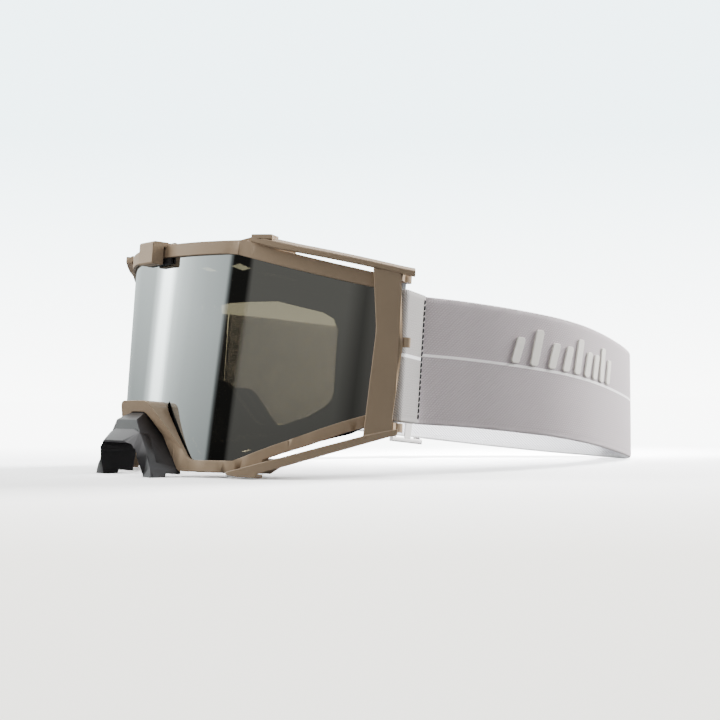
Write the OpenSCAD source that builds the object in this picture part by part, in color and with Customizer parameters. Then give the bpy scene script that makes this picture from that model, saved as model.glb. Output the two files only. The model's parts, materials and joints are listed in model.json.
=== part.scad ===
// Motocross goggles: one-piece curved lens in a moulded frame, hinged outriggers that carry
// the strap, a lift-up lens latch and a clip-in nose guard.
// The goggles are drawn upright, facing -Y, with the wearer's left towards +X and the front
// of the rim's curve at y = 0. They are then leaned back and set down on the table, z = 0.

/* [Frame] */
// Radius of the frame's outside curve, seen from above
front_r = 107; // [100:0.5:114]
// Half of the angle that the frame wraps round the curve
wrap_angle = 59.2; // [58.6:0.1:59.4]
// Depth of the rim, measured along the radius
rim_depth = 7; // [6.5:0.25:8.5]
// Height of the rim's top edge at the middle
rim_top = 50.5; // [48.5:0.1:51.5]
// Height of the rim's top edge at the temples
temple_top = 38.3; // [37:0.2:39.5]
// Distance from the middle at which the top edge starts to fall
brow_kink = 49.5; // [47.5:0.1:51]
// Height of the top bar at the middle
brow_h = 5.2; // [4.8:0.1:5.6]
// Height of the top bar at the temples
temple_h = 5; // [4.4:0.1:6]
// Height of the rim's bottom edge under the cheeks, below the middle line
rim_bottom = 39.2; // [38.4:0.2:39.6]
// Distance from the middle at which the bottom edge starts to rise
cheek_kink = 50.5; // [47:0.5:53]
// Height of the bottom edge at the temples, below the middle line
temple_bottom = 16.6; // [15:0.2:18]
// Height of the bottom bar
cheek_h = 5; // [4.4:0.1:6]

/* [Nose arch] */
// Height of the arch's upper edge, below the middle line
arch_top = 12.6; // [11.5:0.2:14]
// Half width of the flat top of the arch
arch_half = 12; // [10:0.5:14]
// Half width of the arch where it meets the bottom bar
arch_foot = 30.5; // [29.5:0.1:31.5]
// Thickness of the arch's band
arch_band = 4.4; // [4:0.1:5]
// How far the top of the arch stands in front of the rim
bridge_reach = 6.2; // [4:0.1:7]

/* [Lens] */
// Thickness of the lens
lens_t = 1.3; // [1:0.1:1.8]
// Thickness of the front lip that holds the lens
lip_t = 1.5; // [1.2:0.1:2]
// How far the lens runs into its groove
lens_lap = 2; // [1.6:0.1:2.2]
// Gap between the lens and the nose arch, beside the nose
nose_relief = 1.2; // [0.8:0.1:1.8]
// Thickness of the soft gasket behind the lens
gasket_t = 0.9; // [0.6:0.1:1.1]
// Width of the gasket that shows inside the rim
gasket_w = 2.4; // [1.6:0.2:3.4]

/* [Outriggers] */
// Thickness of an outrigger's plate along the radius
plate_t = 2.4; // [2:0.1:2.7]
// Angle round the curve at which the plate starts
plate_start = 55.8; // [55:0.1:56.5]
// Angle round the curve at which the plate ends
plate_end = 61.6; // [61:0.1:62.2]
// How far the middle of the plate is kinked back, as an angle
plate_kink = 1.4; // [0.6:0.1:1.8]
// Height of the upper arm
arm_h = 3.4; // [3:0.1:3.8]
// Depth of the arms along the radius
arm_depth = 3.2; // [2.9:0.1:3.5]
// Distance of the arms' pivots beyond the point where the brow starts to fall
pivot_out = 5.5; // [5.2:0.1:6]
// Radius of the pivot pins
pivot_pin_r = 1.1; // [0.9:0.05:1.3]
// Radius of the arms' round front ends
knuckle_r = 2.7; // [2.5:0.05:2.9]
// Radius of the bar that carries the strap
bar_r = 1.6; // [1.3:0.1:1.8]

/* [Strap] */
// Width of the strap
strap_w = 50; // [46:0.5:51]
// Thickness of the strap's webbing
strap_t = 1.7; // [1.4:0.1:1.9]
// Thickness of the raised rubber bars on the strap
motif_t = 0.9; // [0.5:0.1:1.4]
// Number of raised rubber bars on the strap
motif_count = 9; // [5:1:11]
// Length of each stitch
stitch_len = 1.7; // [1.2:0.1:1.9]
// Radius of the sewing thread
thread_r = 0.3; // [0.2:0.05:0.4]

/* [Face foam] */
// Thickness of the firm foam next to the frame
base_foam_t = 4; // [3:0.5:5]
// Thickness of the soft foam behind it, at its edges
face_foam_t = 6; // [4:0.5:8]
// Height of the soft foam's crown above its edges
foam_crown = 3; // [2:0.25:4]
// Thickness of the fleece that lies on the skin
fleece_t = 1.2; // [0.8:0.1:1.6]
// Wall of the inner frame
skirt_t = 1.8; // [1.4:0.1:2.2]

/* [Lens latch] */
// Width of the latch's block
latch_w = 12.8; // [11.6:0.1:14]
// How far the block stands in front of the rim
latch_reach = 5.5; // [4.5:0.1:6.5]
// Radius of the latch's hinge pin
latch_pin_r = 0.7; // [0.5:0.05:0.75]

/* [Nose guard] */
// How far the first step of the nose guard stands in front of the rim
guard_step = 8.5; // [7.5:0.1:9.5]
// How far the guard's nose stands in front of the rim
guard_reach = 13.2; // [12.2:0.1:14.5]
// Width of the nose guard's tunnel at its feet, on each side of the middle
guard_tunnel = 18.8; // [17.5:0.1:19.8]

/* [Fits] */
// Gap between pieces that lie against each other
seat_gap = 0.3; // [0.2:0.05:0.35]
// Running clearance of a pin in its hole
pin_gap = 0.06; // [0.04:0.01:0.09]
// Angle at which the goggles lean back as they stand
stand_tilt = 4.75; // [4.5:0.05:4.9]

/* [Hidden] */
$fn = 96;

tan_plastic = "#8a7866";
dark_plastic = "#2f2e2f";
webbing = "#a9a2a3";
pale_webbing = "#c9c6c4";
steel = "#9a9ca0";
off_white = "#dad6cf";
thread = "#1c1c1e";

// Heights and places that follow from the sizes above
stand_height = 41.85;
strap_back = 252.2;
guard_tip_z = -28.9;
guard_front = (-1 - guard_reach) * cos(stand_tilt) + guard_tip_z * sin(stand_tilt);
rear_shift = -(strap_back + strap_t / 2 + guard_front) / 2;
curve_y = front_r - 1;
rim_back_r = front_r - rim_depth;
lens_out_r = front_r - lip_t;
lens_in_r = lens_out_r - lens_t;
gasket_in_r = lens_in_r - 0.1 - gasket_t;
window_angle = wrap_angle - 2.2;
wide_x = front_r;

// Small vector and outline functions
function unit(v) = v / norm(v);
function mirrored(half) =
    concat(half, [for (i = [len(half) - 1:-1:0]) [-half[i][0], half[i][1]]]);
function grow(p, d) = let (n = len(p)) [for (i = [0:n - 1]) let (
    a = unit(p[i] - p[(i + n - 1) % n]),
    b = unit(p[(i + 1) % n] - p[i]),
    na = [a[1], -a[0]],
    nb = [b[1], -b[0]])
    p[i] + d * (na + nb) / (1 + na * nb)];
function corner(p0, p1, p2, r, n) = let (
    a = unit(p0 - p1),
    b = unit(p2 - p1),
    half = min(89.5, acos(max(-1, min(1, a * b))) / 2),
    run = min(r / tan(half), 0.45 * norm(p0 - p1), 0.45 * norm(p2 - p1)),
    c = p1 + unit(a + b) * run / cos(half),
    s = p1 + a * run - c,
    e = p1 + b * run - c,
    turn = atan2(s[0] * e[1] - s[1] * e[0], s * e))
    [for (k = [0:n]) c + [
        s[0] * cos(turn * k / n) - s[1] * sin(turn * k / n),
        s[0] * sin(turn * k / n) + s[1] * cos(turn * k / n)]];
// The radius is one number, or one for each point of the right half
function radius_at(r, i, m) = is_list(r) ? r[min(i, m - 1 - i)] : r;
function arcs(p, r, n) = let (m = len(p))
    [for (i = [0:m - 1]) corner(p[(i + m - 1) % m], p[i], p[(i + 1) % m], radius_at(r, i, m), n)];
function rounded(p, r, n = 4) = [for (a = arcs(p, r, n)) each a];
// A rounded outline with k steps along each straight stretch
function ring(half, r, n, k) = let (a = arcs(mirrored(half), r, n), m = len(a))
    [for (i = [0:m - 1]) each concat(a[i],
        [for (j = [1:k - 1]) a[i][n] + (a[(i + 1) % m][0] - a[i][n]) * j / k])];
function on_curve(r, p) = let (a = asin(p[0] / front_r))
    [r * sin(a), curve_y - r * cos(a), p[1]];
function polar(r, a) = [r * sin(a), curve_y - r * cos(a)];

// Where a line through two points reaches a given distance from the middle
function beyond(a, b, x) = [x, a[1] + (b[1] - a[1]) * (x - a[0]) / (b[0] - a[0])];

// Outlines of the frame, right half from the bottom, seen from the front
temple_x = front_r * sin(wrap_angle);
temple_rail = 3.2;
knee = [75.5, -26.8];
window_knee = knee + [-3.5, 2.9];
arch_low = arch_top + arch_band;
arch_low_half = arch_half - arch_band * 1.15;
window_half = [
    [arch_half, -arch_top],
    [arch_foot, -(rim_bottom - cheek_h + 0.8)],
    [cheek_kink + 0.6, -(rim_bottom - cheek_h)],
    window_knee,
    beyond(window_knee, [temple_x - 2.2, temple_rail - temple_bottom], wide_x),
    [wide_x, temple_top - temple_h - 4.2],
    [brow_kink - 4, rim_top - brow_h]];
bottom_kink = [cheek_kink, -(rim_bottom - 0.4)];
brow_end = [wide_x, temple_top - 3.6];
outer_half = [
    [arch_low_half, -arch_low],
    [arch_low_half + 18.4, -(rim_bottom + 0.3)],
    bottom_kink,
    knee,
    beyond(knee, [temple_x, -temple_bottom], wide_x),
    brow_end,
    [brow_kink, rim_top]];
window = mirrored(window_half);
outer = mirrored(outer_half);
window_radii = [7, 4, 4, 14, 2, 2, 20];
outer_radii = [5, 3, 5, 14, 2, 2, 16];

// Solids bounded by the frame's curve
module placed()
    translate([0, rear_shift, stand_height]) rotate([-stand_tilt, 0, 0]) children();
module shell(r_in, r_out, z0 = -60, z1 = 70)
    translate([0, curve_y, z0]) difference() {
        cylinder(r = r_out, h = z1 - z0, $fn = 180);
        translate([0, 0, -1]) cylinder(r = r_in, h = z1 - z0 + 2, $fn = 180);
    }
module facing(points, y0 = -20, y1 = curve_y)
    translate([0, y1, 0]) rotate([90, 0, 0]) linear_extrude(y1 - y0) polygon(points);
module sideways(points, x0, x1)
    translate([x0, 0, 0]) rotate([90, 0, 90]) linear_extrude(x1 - x0) polygon(points);
// Shapes seen square to the curve at the side of the frame
side_turn = 58;
function side_at(r, a) = r * sin(a - side_turn);
function sided(r, points) = [for (p = points) [side_at(r, p[0]), p[1]]];
module outward(points) translate([0, curve_y, 0]) rotate([0, 0, side_turn])
    translate([0, -curve_y, 0]) facing(points);
module wedge(a, z0 = -60, z1 = 70)
    translate([0, curve_y, z0]) linear_extrude(z1 - z0)
        polygon([[0, 0], 2 * front_r * [-sin(a), -cos(a)], [0, -3 * front_r],
            2 * front_r * [sin(a), -cos(a)]]);

// The moulded front frame, with its nose arch, arm bosses, latch lugs and lens groove
boss_z = rim_top + 2.2;
pivot_r = front_r - 1.8;
pivot_x = brow_kink + pivot_out;
pivot_angle = asin(pivot_x / pivot_r);
pivot_top = rim_top - 0.6;
pivot_low = -(rim_bottom - 0.9);
pin_seat = 2.8;
lug_y = 3.4;
lug_z = rim_top;
lug_r = 1.5;
knuckle_half = 4.2;
lug_w = 1.8;

pivot_at = polar(pivot_r, pivot_angle);
module pivot_hole(z, h)
    translate(concat(pivot_at, z)) cylinder(r = pivot_pin_r, h = h, $fn = 32);
module arm_bosses() {
    intersection() {
        shell(rim_back_r, front_r);
        facing([[brow_kink - 4, rim_top - 2.5], [pivot_x + 7, rim_top - 5.5],
            [pivot_x + 7, pivot_top - 1.2], [pivot_x + 4, pivot_top], [brow_kink - 4, pivot_top]]);
    }
    intersection() {
        shell(rim_back_r, pivot_r - knuckle_r - 0.5);
        facing([[brow_kink - 9, rim_top - 1], [pivot_x + 4, rim_top - 5], [pivot_x - 0.5, boss_z - 0.6],
            [pivot_x - 2.5, boss_z], [pivot_x - 7, boss_z], [brow_kink - 9, rim_top + 0.4]]);
    }
    intersection() {
        shell(rim_back_r, front_r);
        facing([[pivot_x - 9, pivot_low], [pivot_x + 3.5, pivot_low], [pivot_x + 6.5, pivot_low + 2.6],
            [pivot_x + 7, pivot_low + 5.9], [pivot_x - 9, pivot_low + 0.7]]);
    }
}
latch_floor = rim_top - 1.3;
knuckle_of_latch = 1.4;
module latch_lug(x) translate([x, 0, 0]) {
    translate([0, lug_y, lug_z]) rotate([0, 90, 0]) cylinder(r = lug_r, h = lug_w, $fn = 32);
    translate([0, lug_y - lug_r, lug_z - 1.5]) cube([lug_w, 2 * lug_r, 1.5]);
}
// From the kinks outwards the rim's upper and lower edges run square to its face. The cuts
// cross the outline just beyond the kinks, and then run a little inside it.
edge_end = temple_x + 3;
edge_inset = 0.1;
function steps_to(a, b, n) = [for (i = [1:n]) a + (b - a) * i / n];
function edge_line(path, inset) = [for (i = [0:len(path) - 1])
    [side_at(front_r, asin(path[i][0] / front_r)), path[i][1] + (i == 0 ? 3 : -1) * inset]];
module edge_cut(path, inset, far_z) {
    line = edge_line(path, inset);
    outward(concat(line, [[line[len(line) - 1][0], far_z], [line[0][0], far_z]]));
}
module edge_cuts() {
    top_start = [brow_kink, rim_top];
    edge_cut(concat([top_start], steps_to(top_start, beyond(top_start, brow_end, edge_end), 6)),
        edge_inset, 65);
    edge_cut(concat([bottom_kink], steps_to(bottom_kink, knee, 3),
        steps_to(knee, beyond(knee, [temple_x, -temple_bottom], edge_end), 2)), -edge_inset, -55);
}
// The arch's top leans forward of the rim
bridge_slope = 0.53;
bridge_foot = -rim_bottom - 2;
module nose_bridge()
    sideways([[-1 - bridge_reach, -arch_top + 3], [5, -arch_top + 3], [5, bridge_foot],
        [-1 - bridge_reach - bridge_slope * (arch_top + bridge_foot), bridge_foot],
        [-1 - bridge_reach, -arch_top]], -arch_foot - 2, arch_foot + 2);
module front_frame() color(tan_plastic) placed() difference() {
    union() {
        difference() {
            intersection() {
                union() {
                    intersection() {
                        shell(rim_back_r, front_r);
                        wedge(wrap_angle);
                    }
                    nose_bridge();
                }
                facing(rounded(outer, outer_radii));
            }
            intersection() {
                facing(rounded(window, window_radii));
                wedge(window_angle);
            }
            edge_cuts();
            mirror([1, 0, 0]) edge_cuts();
        }
        arm_bosses();
        mirror([1, 0, 0]) arm_bosses();
        latch_lug(knuckle_half + 0.3);
        latch_lug(-knuckle_half - 0.3 - lug_w);
    }
    intersection() {
        shell(gasket_in_r, lens_out_r);
        facing(rounded(grow(window, lens_lap + 0.2), window_radii));
        wedge(window_angle + 1.3);
    }
    for (m = [0, 1]) mirror([m, 0, 0]) {
        pivot_hole(pivot_top - pin_seat, 6);
        pivot_hole(pivot_low - 1, pin_seat + 1);
    }
    // Room for the latch's top plate, and for its knuckle between the lugs
    translate([-latch_w / 2 - 0.4, -5, latch_floor])
        cube([latch_w + 0.8, 5 + lug_y - lug_r - seat_gap, 5]);
    translate([-knuckle_half - 0.3, 0, lug_z - knuckle_of_latch - seat_gap])
        cube([2 * knuckle_half + 0.6, rim_depth + 1, 5]);
    translate([-latch_w, lug_y, lug_z]) rotate([0, 90, 0])
        cylinder(r = latch_pin_r, h = 2 * latch_w, $fn = 32);
}

module pivot_pins() color(steel) placed() for (m = [0, 1]) mirror([m, 0, 0]) {
    pivot_hole(pivot_top - pin_seat, pin_seat + 1.9);
    pivot_hole(pivot_low - 1.3, pin_seat + 1.3);
}

// The lens, a band of a cylinder cut away beside the nose
relief_half = [
    [arch_half + 1.6, -arch_top - 1.2],
    [arch_half + 1.6 + nose_relief, -arch_top + 0.4],
    [arch_foot + nose_relief + 2.6, -rim_bottom - 0.4],
    [arch_foot - 2, -rim_bottom - 0.4]];
module lens() color([0.62, 0.64, 0.66, 0.8]) placed() difference() {
    intersection() {
        shell(lens_in_r, lens_out_r - 0.1);
        facing(rounded(grow(window, lens_lap), window_radii));
        wedge(window_angle + 1.1);
    }
    facing(relief_half, -20, 20);
    mirror([1, 0, 0]) facing(relief_half, -20, 20);
}
module lens_gasket() color(dark_plastic) placed() difference() {
    intersection() {
        shell(lens_in_r - 0.1 - gasket_t + 0.02, lens_in_r - 0.1);
        facing(rounded(grow(window, lens_lap), window_radii));
        wedge(window_angle + 1.1);
    }
    intersection() {
        facing(rounded(grow(window, -gasket_w), window_radii));
        wedge(window_angle - 1.6);
    }
}

// The latch at the middle of the brow, hinged at the back of its top plate
block_back = -1 - 0.5;
block_front = -1 - latch_reach;
block_low = rim_top - brow_h - 2.9;
plate_low = latch_floor + seat_gap;
latch_top = rim_top + 1.1;
module lens_latch() color(tan_plastic) placed() difference() {
    union() {
        translate([-latch_w / 2, 0, 0]) rotate([90, 0, 90]) linear_extrude(latch_w)
            polygon([[block_back, block_low], [block_back, plate_low], [0.6, plate_low],
                [0.6, latch_top - 0.4], [0.2, latch_top], [block_front + 0.6, latch_top],
                [block_front, latch_top - 0.6], [block_front, block_low + 0.6],
                [block_front + 0.6, block_low]]);
        translate([-knuckle_half, 0, 0]) rotate([90, 0, 90]) linear_extrude(2 * knuckle_half)
            polygon([[0, plate_low], [lug_y, plate_low], [lug_y, lug_z + knuckle_of_latch],
                [0, latch_top - 0.2]]);
        translate([-knuckle_half, lug_y, lug_z]) rotate([0, 90, 0])
            cylinder(r = knuckle_of_latch, h = 2 * knuckle_half, $fn = 32);
    }
    translate([-knuckle_half - 1, lug_y, lug_z]) rotate([0, 90, 0])
        cylinder(r = latch_pin_r + pin_gap, h = 2 * knuckle_half + 2, $fn = 32);
}
module latch_pin() color(steel) placed()
    translate([-knuckle_half - 0.3 - lug_w, lug_y, lug_z]) rotate([0, 90, 0])
        cylinder(r = latch_pin_r, h = 2 * (knuckle_half + 0.3 + lug_w), $fn = 32);
// The soft pad under the brow that the latch presses on the lens
pad_half = 10.4;
module latch_pad() color(dark_plastic) placed() intersection() {
    shell(lens_out_r + 0.05, front_r - 0.3);
    facing([[-pad_half, block_low + 0.4], [pad_half, block_low + 0.4],
        [pad_half, rim_top - brow_h - 0.1], [-pad_half, rim_top - brow_h - 0.1]], -20, 20);
}

// The nose guard: a stepped arch that clips into the frame's nose arch
guard_half = [
    [arch_low_half - 0.2, -arch_low - seat_gap],
    [arch_low_half + 17.6, -(rim_bottom - 0.2)],
    [arch_low_half + 20, -46]];
guard_outline = mirrored(guard_half);
nose_space_half = [[guard_tunnel + 1.2, -52], [guard_tunnel, -43], [guard_tunnel - 3, guard_tip_z - 0.9]];
guard_radii = [4, 3, 2];
// The hood's two rims, from a foot over the top to the other foot: across, back, up. The front
// one slopes back towards the feet.
guard_mouth_slope = 0.36;
function hood(half, y_top, slope) = [for (p = mirrored(half))
    [p[0], y_top + slope * (half[len(half) - 1][1] - p[1]), p[1]]];
hood_back = hood([[28, -46], [26, -42], [21.2, -34.3], [16.5, -28.5], [13.5, -25.4], [8.5, -24.2]],
    -1 - guard_step - 0.4, 0.07);
hood_front = hood([[guard_tunnel + 1.7, -46], [guard_tunnel + 0.6, -42], [guard_tunnel - 1.5, -35.5],
    [guard_tunnel - 3.3, -31.8], [11.5, -29.6], [7.6, guard_tip_z]], -1 - guard_reach, guard_mouth_slope);
module capped(loops) let (m = len(loops), n = len(loops[0]))
    polyhedron(points = [for (l = loops) each l],
        faces = concat(
            [[for (i = [0:n - 1]) i], [for (i = [n - 1:-1:0]) (m - 1) * n + i]],
            [for (j = [0:m - 2], i = [0:n - 1]) let (
                a = j * n + i,
                b = j * n + (i + 1) % n)
                each [[b, a, a + n], [b, a + n, b + n]]]));
module nose_guard() color(dark_plastic) placed() difference() {
    union() {
        intersection() {
            facing(rounded(guard_outline, guard_radii), -1 - guard_step, 3.5);
            // The top falls away towards the front, and the backs of the feet are raised
            sideways([[3.5, -arch_low], [-4.8, -arch_low - seat_gap], [-1 - guard_step, -arch_low - 3.4],
                [-1 - guard_step, -46], [-3.2, -46], [-2.8, -40.8], [3.5, -40.8]], -40, 40);
        }
        capped([[for (p = hood_back) [p[0], -6, p[2]]], hood_back, hood_front]);
    }
    facing(rounded(mirrored(nose_space_half), [2, 5, 5]), -30, 30);
    // The feet are cut flat by the table
    rotate([stand_tilt, 0, 0]) translate([-50, -60, -stand_height - 30]) cube([100, 100, 30]);
}

// The outriggers: two arms, a kinked plate, brackets for the strap bar and a small hook
arm_in_r = front_r + 0.5;
arm_out_r = arm_in_r + arm_depth;
plate_in_r = front_r + 0.8;
arm_start = pivot_angle - 1;
low_arm_start = pivot_angle - 3.4;
arm_end = 64;
low_arm_end = 62.4;
loop_low = -15.5;
bracket_h = 3.4;
bar_top = loop_low + strap_w + 2.5 + bracket_h;
bar_bottom = loop_low - 0.7 - bracket_h;
top_front_z = rim_top + 2.2;
top_bend = 36.3;
top_end_z = bar_top + 1.5;
low_end_z = bar_bottom + 1;
low_arm_z = -rim_bottom - 0.9;
bar_at = polar(plate_in_r + 1, plate_end) + [-7.4, 5.05];
kink_z = 15;
// The upper arm's top rises inwards from its outer face by this angle
arm_rise = 25;
arm_bevel = arm_depth * tan(arm_rise);
arm_top = [[arm_start, top_front_z - arm_bevel], [41, 48.95 - arm_bevel], [arm_end, top_end_z - arm_bevel]];
module arm_slab(points) intersection() {
    shell(arm_in_r, arm_out_r);
    outward(sided(arm_out_r, points));
}
module top_bevel() translate([0, curve_y, 0]) rotate([0, 0, side_turn]) translate([0, -arm_out_r, 0])
    rotate([arm_rise, 0, 0]) rotate([90, 0, 0]) translate([0, 0, -front_r]) linear_extrude(2 * front_r)
        polygon(concat([for (i = [0:12]) let (
            a = arm_start - 1 + (arm_end + 2 - arm_start) * i / 12,
            s = side_at(arm_out_r, a),
            z = lookup(s, [for (p = arm_top) [side_at(arm_out_r, p[0]), p[1]]]))
            [s, z * cos(arm_rise) - arm_out_r * (1 - cos(a - side_turn)) * sin(arm_rise)]],
            [[20, 0], [-56, 0]]));
module arm_neck(z0, z1) intersection() {
    shell(pivot_r - 1, arm_out_r, z0, z1);
    translate([0, curve_y, z0]) linear_extrude(z1 - z0) polygon([[0, 0],
        2 * front_r * [sin(arm_start), -cos(arm_start)],
        2 * front_r * [sin(arm_start + 4.5), -cos(arm_start + 4.5)]]);
}
module bracket(z0)
    translate([0, 0, z0]) linear_extrude(bracket_h) difference() {
        union() {
            translate(bar_at) circle(r = bar_r + 2, $fn = 48);
            polygon([polar(plate_in_r + 1, plate_end), polar(plate_in_r + 1, wrap_angle + 0.9),
                bar_at + [-3.2, -1.6], bar_at + [-1, 3.4]]);
        }
        translate(bar_at) circle(r = bar_r, $fn = 48);
    }
// The room that the rim takes inside the arms' front ends when the outrigger is swung out
swing = 10;
module swung_rim() intersection() {
    translate(concat(pivot_at, 0)) rotate([0, 0, swing]) translate([-pivot_at[0], -pivot_at[1], 0])
        shell(rim_back_r, front_r + seat_gap);
    facing([[arch_foot, -rim_bottom - seat_gap], [pivot_x - knuckle_r + 0.2, -rim_bottom - seat_gap],
        [pivot_x - knuckle_r + 0.2, pivot_low - 0.2], [pivot_x, pivot_low - 0.2],
        [pivot_x, pivot_top + 0.2], [arch_foot, pivot_top + 0.2]]);
}
module outrigger() difference() {
    union() {
        // Upper arm
        intersection() {
            arm_slab([[arm_start, top_front_z - arm_h], [top_bend, top_front_z - arm_h - 2.6],
                [arm_end, top_end_z - arm_h + 0.1], [arm_end, top_end_z + 1], [arm_start, top_front_z + 3]]);
            top_bevel();
        }
        arm_neck(pivot_top + seat_gap, top_front_z - 0.6);
        // Lower arm, its front end slanted
        arm_slab([[low_arm_start + 0.4, low_arm_z + 0.3], [low_arm_start + 3.2, low_arm_z],
            [low_arm_start + 7.6, low_arm_z + 1.7], [low_arm_end, low_end_z - 2.1],
            [low_arm_end, low_end_z], [plate_start, low_end_z - 3.4], [low_arm_start, low_arm_z + 1.4]]);
        arm_neck(low_arm_z, pivot_low - seat_gap);
        // Kinked plate
        intersection() {
            shell(plate_in_r, plate_in_r + plate_t);
            outward(sided(plate_in_r + plate_t, [[plate_start, low_end_z - 4.6],
                [plate_end - 0.1, low_end_z - 1.4], [plate_end - 0.3, low_end_z + 4],
                [plate_end + plate_kink - 0.6, kink_z - 2.5], [plate_end - 0.4, top_end_z - 2.2],
                [plate_start, top_end_z - 1], [plate_start + plate_kink - 0.1, kink_z + 3]]));
        }
        // Hook on the plate's back edge
        translate(concat(polar(plate_in_r + 1.3, plate_end + 1.6), kink_z - 3))
            cylinder(r = 1.5, h = 3.6, $fn = 32);
        bracket(bar_top - bracket_h);
        bracket(bar_bottom);
        // Pivot ends
        for (z = [[pivot_top + seat_gap, top_front_z - 0.6], [low_arm_z, pivot_low - seat_gap]])
            translate(concat(pivot_at, z[0])) cylinder(r = knuckle_r, h = z[1] - z[0], $fn = 48);
    }
    swung_rim();
    // Blind pivot holes
    translate(concat(pivot_at, pivot_low - 1.5))
        cylinder(r = pivot_pin_r + pin_gap, h = pivot_top - pivot_low + 3.5, $fn = 32);
}
module outrigger_left() color(tan_plastic) placed() outrigger();
module outrigger_right() color(tan_plastic) placed() mirror([1, 0, 0]) outrigger();

module strap_bar()
    translate([bar_at[0], bar_at[1], bar_bottom + 0.3])
        cylinder(r = bar_r - 0.02, h = bar_top - bar_bottom - 0.6, $fn = 48);
module strap_bar_left() color(steel) placed() strap_bar();
module strap_bar_right() color(steel) placed() mirror([1, 0, 0]) strap_bar();

// The strap's loops, folded round the bars and sewn
seam_at = bar_at + [-8.8, 15.7];
loop_in_r = bar_r + 0.25;
loop_out_r = loop_in_r + strap_t;
loop_legs = 0.03;
seam_dir = unit(seam_at - bar_at);
seam_side = [seam_dir[1], -seam_dir[0]];
module strap_loop() translate([0, 0, loop_low]) difference() {
    union() {
        translate(bar_at) cylinder(r = loop_out_r, h = strap_w, $fn = 48);
        linear_extrude(strap_w) polygon([bar_at + (loop_out_r - loop_legs) * seam_side,
            bar_at - (loop_out_r - loop_legs) * seam_side,
            seam_at - strap_t * seam_side, seam_at + strap_t * seam_side]);
    }
    translate(concat(bar_at, -1)) cylinder(r = loop_in_r, h = strap_w + 2, $fn = 48);
    translate([0, 0, -1]) linear_extrude(strap_w + 2) polygon([bar_at + (loop_in_r - loop_legs) * seam_side,
        bar_at - (loop_in_r - loop_legs) * seam_side,
        seam_at - 4 * seam_dir - 0.1 * seam_side, seam_at - 4 * seam_dir + 0.1 * seam_side]);
}
module strap_loop_left() color(pale_webbing) placed() strap_loop();
module strap_loop_right() color(pale_webbing) placed() mirror([1, 0, 0]) strap_loop();

// One row of stitches on each face of a loop, just in front of its end
stitch_in = 1.2;
function loop_half(d) = strap_t + (loop_out_r - strap_t) * d / norm(seam_at - bar_at);
module stitches() {
    pitch = stitch_len + 0.6;
    count = floor((strap_w - 3) / pitch);
    for (side = [-1, 1], i = [0:count - 1])
        translate([0, 0, loop_low + 1.5 + i * pitch])
            translate(concat(seam_at - stitch_in * seam_dir
                + side * (loop_half(stitch_in) + thread_r + 0.05) * seam_side, 0))
                cylinder(r = thread_r, h = stitch_len, $fn = 6);
}
module loop_stitching_left() color(thread) placed() stitches();
module loop_stitching_right() color(thread) placed() mirror([1, 0, 0]) stitches();

// The strap's route on the table, from the left loop to the middle of the back:
// distance from the middle, distance behind the lens, height of the lower edge, lean
route_knots = [
    [79.2, 73.9, 20.15, 4.75],
    [77.7, 78.5, 19.8, 4.75],
    [76.9, 97, 18.6, 4.6],
    [75.5, 122, 16.4, 4.2],
    [71.8, 148.8, 13.6, 3.4],
    [65.5, 170, 10.9, 2.6],
    [56.3, 188.6, 8.3, 2],
    [44, 208, 5.6, 1.4],
    [28.5, 229, 2.8, 0.8],
    [14.5, 244.5, 1, 0.3],
    [6.4, 250.6, 0.2, 0]];
// The front end of the route follows the seam, and the back stays where it is
seam_shift = seam_at - [79.5, 75];
strap_route = [for (i = [0:len(route_knots) - 1])
    route_knots[i] + (1 - i / len(route_knots)) * [seam_shift[0], seam_shift[1], 0, 0]];
full_route = concat(strap_route, [[0, 252.2, 0, 0]],
    [for (i = [len(strap_route) - 1:-1:0]) let (p = strap_route[i]) [-p[0], p[1], p[2], p[3]]]);
route_end = len(full_route) - 1;
function route_knot(i) = full_route[max(0, min(route_end, i))];
function route(u) = let (
    i = min(route_end - 1, floor(u)),
    t = u - i,
    a = route_knot(i - 1),
    b = route_knot(i),
    c = route_knot(i + 1),
    d = route_knot(i + 2))
    b + 0.5 * t * (c - a + t * (2 * a - 5 * b + 4 * c - d + t * (3 * (b - c) + d - a)));
function along(u) = let (a = route(max(0, u - 0.02)), b = route(min(route_end, u + 0.02)))
    unit([b[0] - a[0], b[1] - a[1]]);
// A point on the strap: out from its middle line, and up from its lower edge. Beyond the
// middle of the back the strap leans the other way, because it runs forwards there.
function strap_point(u, out, up) = let (
    p = route(u),
    t = along(u),
    lean = p[3] * (u > route_end / 2 ? -1 : 1))
    [p[0] + t[1] * out + t[0] * up * sin(lean), p[1] - t[0] * out + t[1] * up * sin(lean),
        p[2] + up * cos(lean)];
module strip(u0, u1, steps, section)
    let (n = len(section), m = steps + 1)
    translate([0, rear_shift, 0]) polyhedron(
        points = [for (i = [0:steps], s = section) strap_point(u0 + (u1 - u0) * i / steps, s[0], s[1])],
        faces = concat(
            [[for (j = [n - 1:-1:0]) j], [for (j = [0:n - 1]) steps * n + j]],
            [for (i = [0:steps - 1], j = [0:n - 1]) let (a = i * n + j, b = i * n + (j + 1) % n)
                each [[a, b, a + n], [b, b + n, a + n]]]));
strap_section = [
    [-strap_t / 2, 0.5],
    [-strap_t / 2 + 0.4, 0],
    [strap_t / 2 - 0.4, 0],
    [strap_t / 2, 0.5],
    [strap_t / 2, strap_w - 0.5],
    [strap_t / 2 - 0.4, strap_w],
    [-strap_t / 2 + 0.4, strap_w],
    [-strap_t / 2, strap_w - 0.5]];
module strap() color(webbing) strip(0, route_end, 4 * route_end, strap_section);

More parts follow.
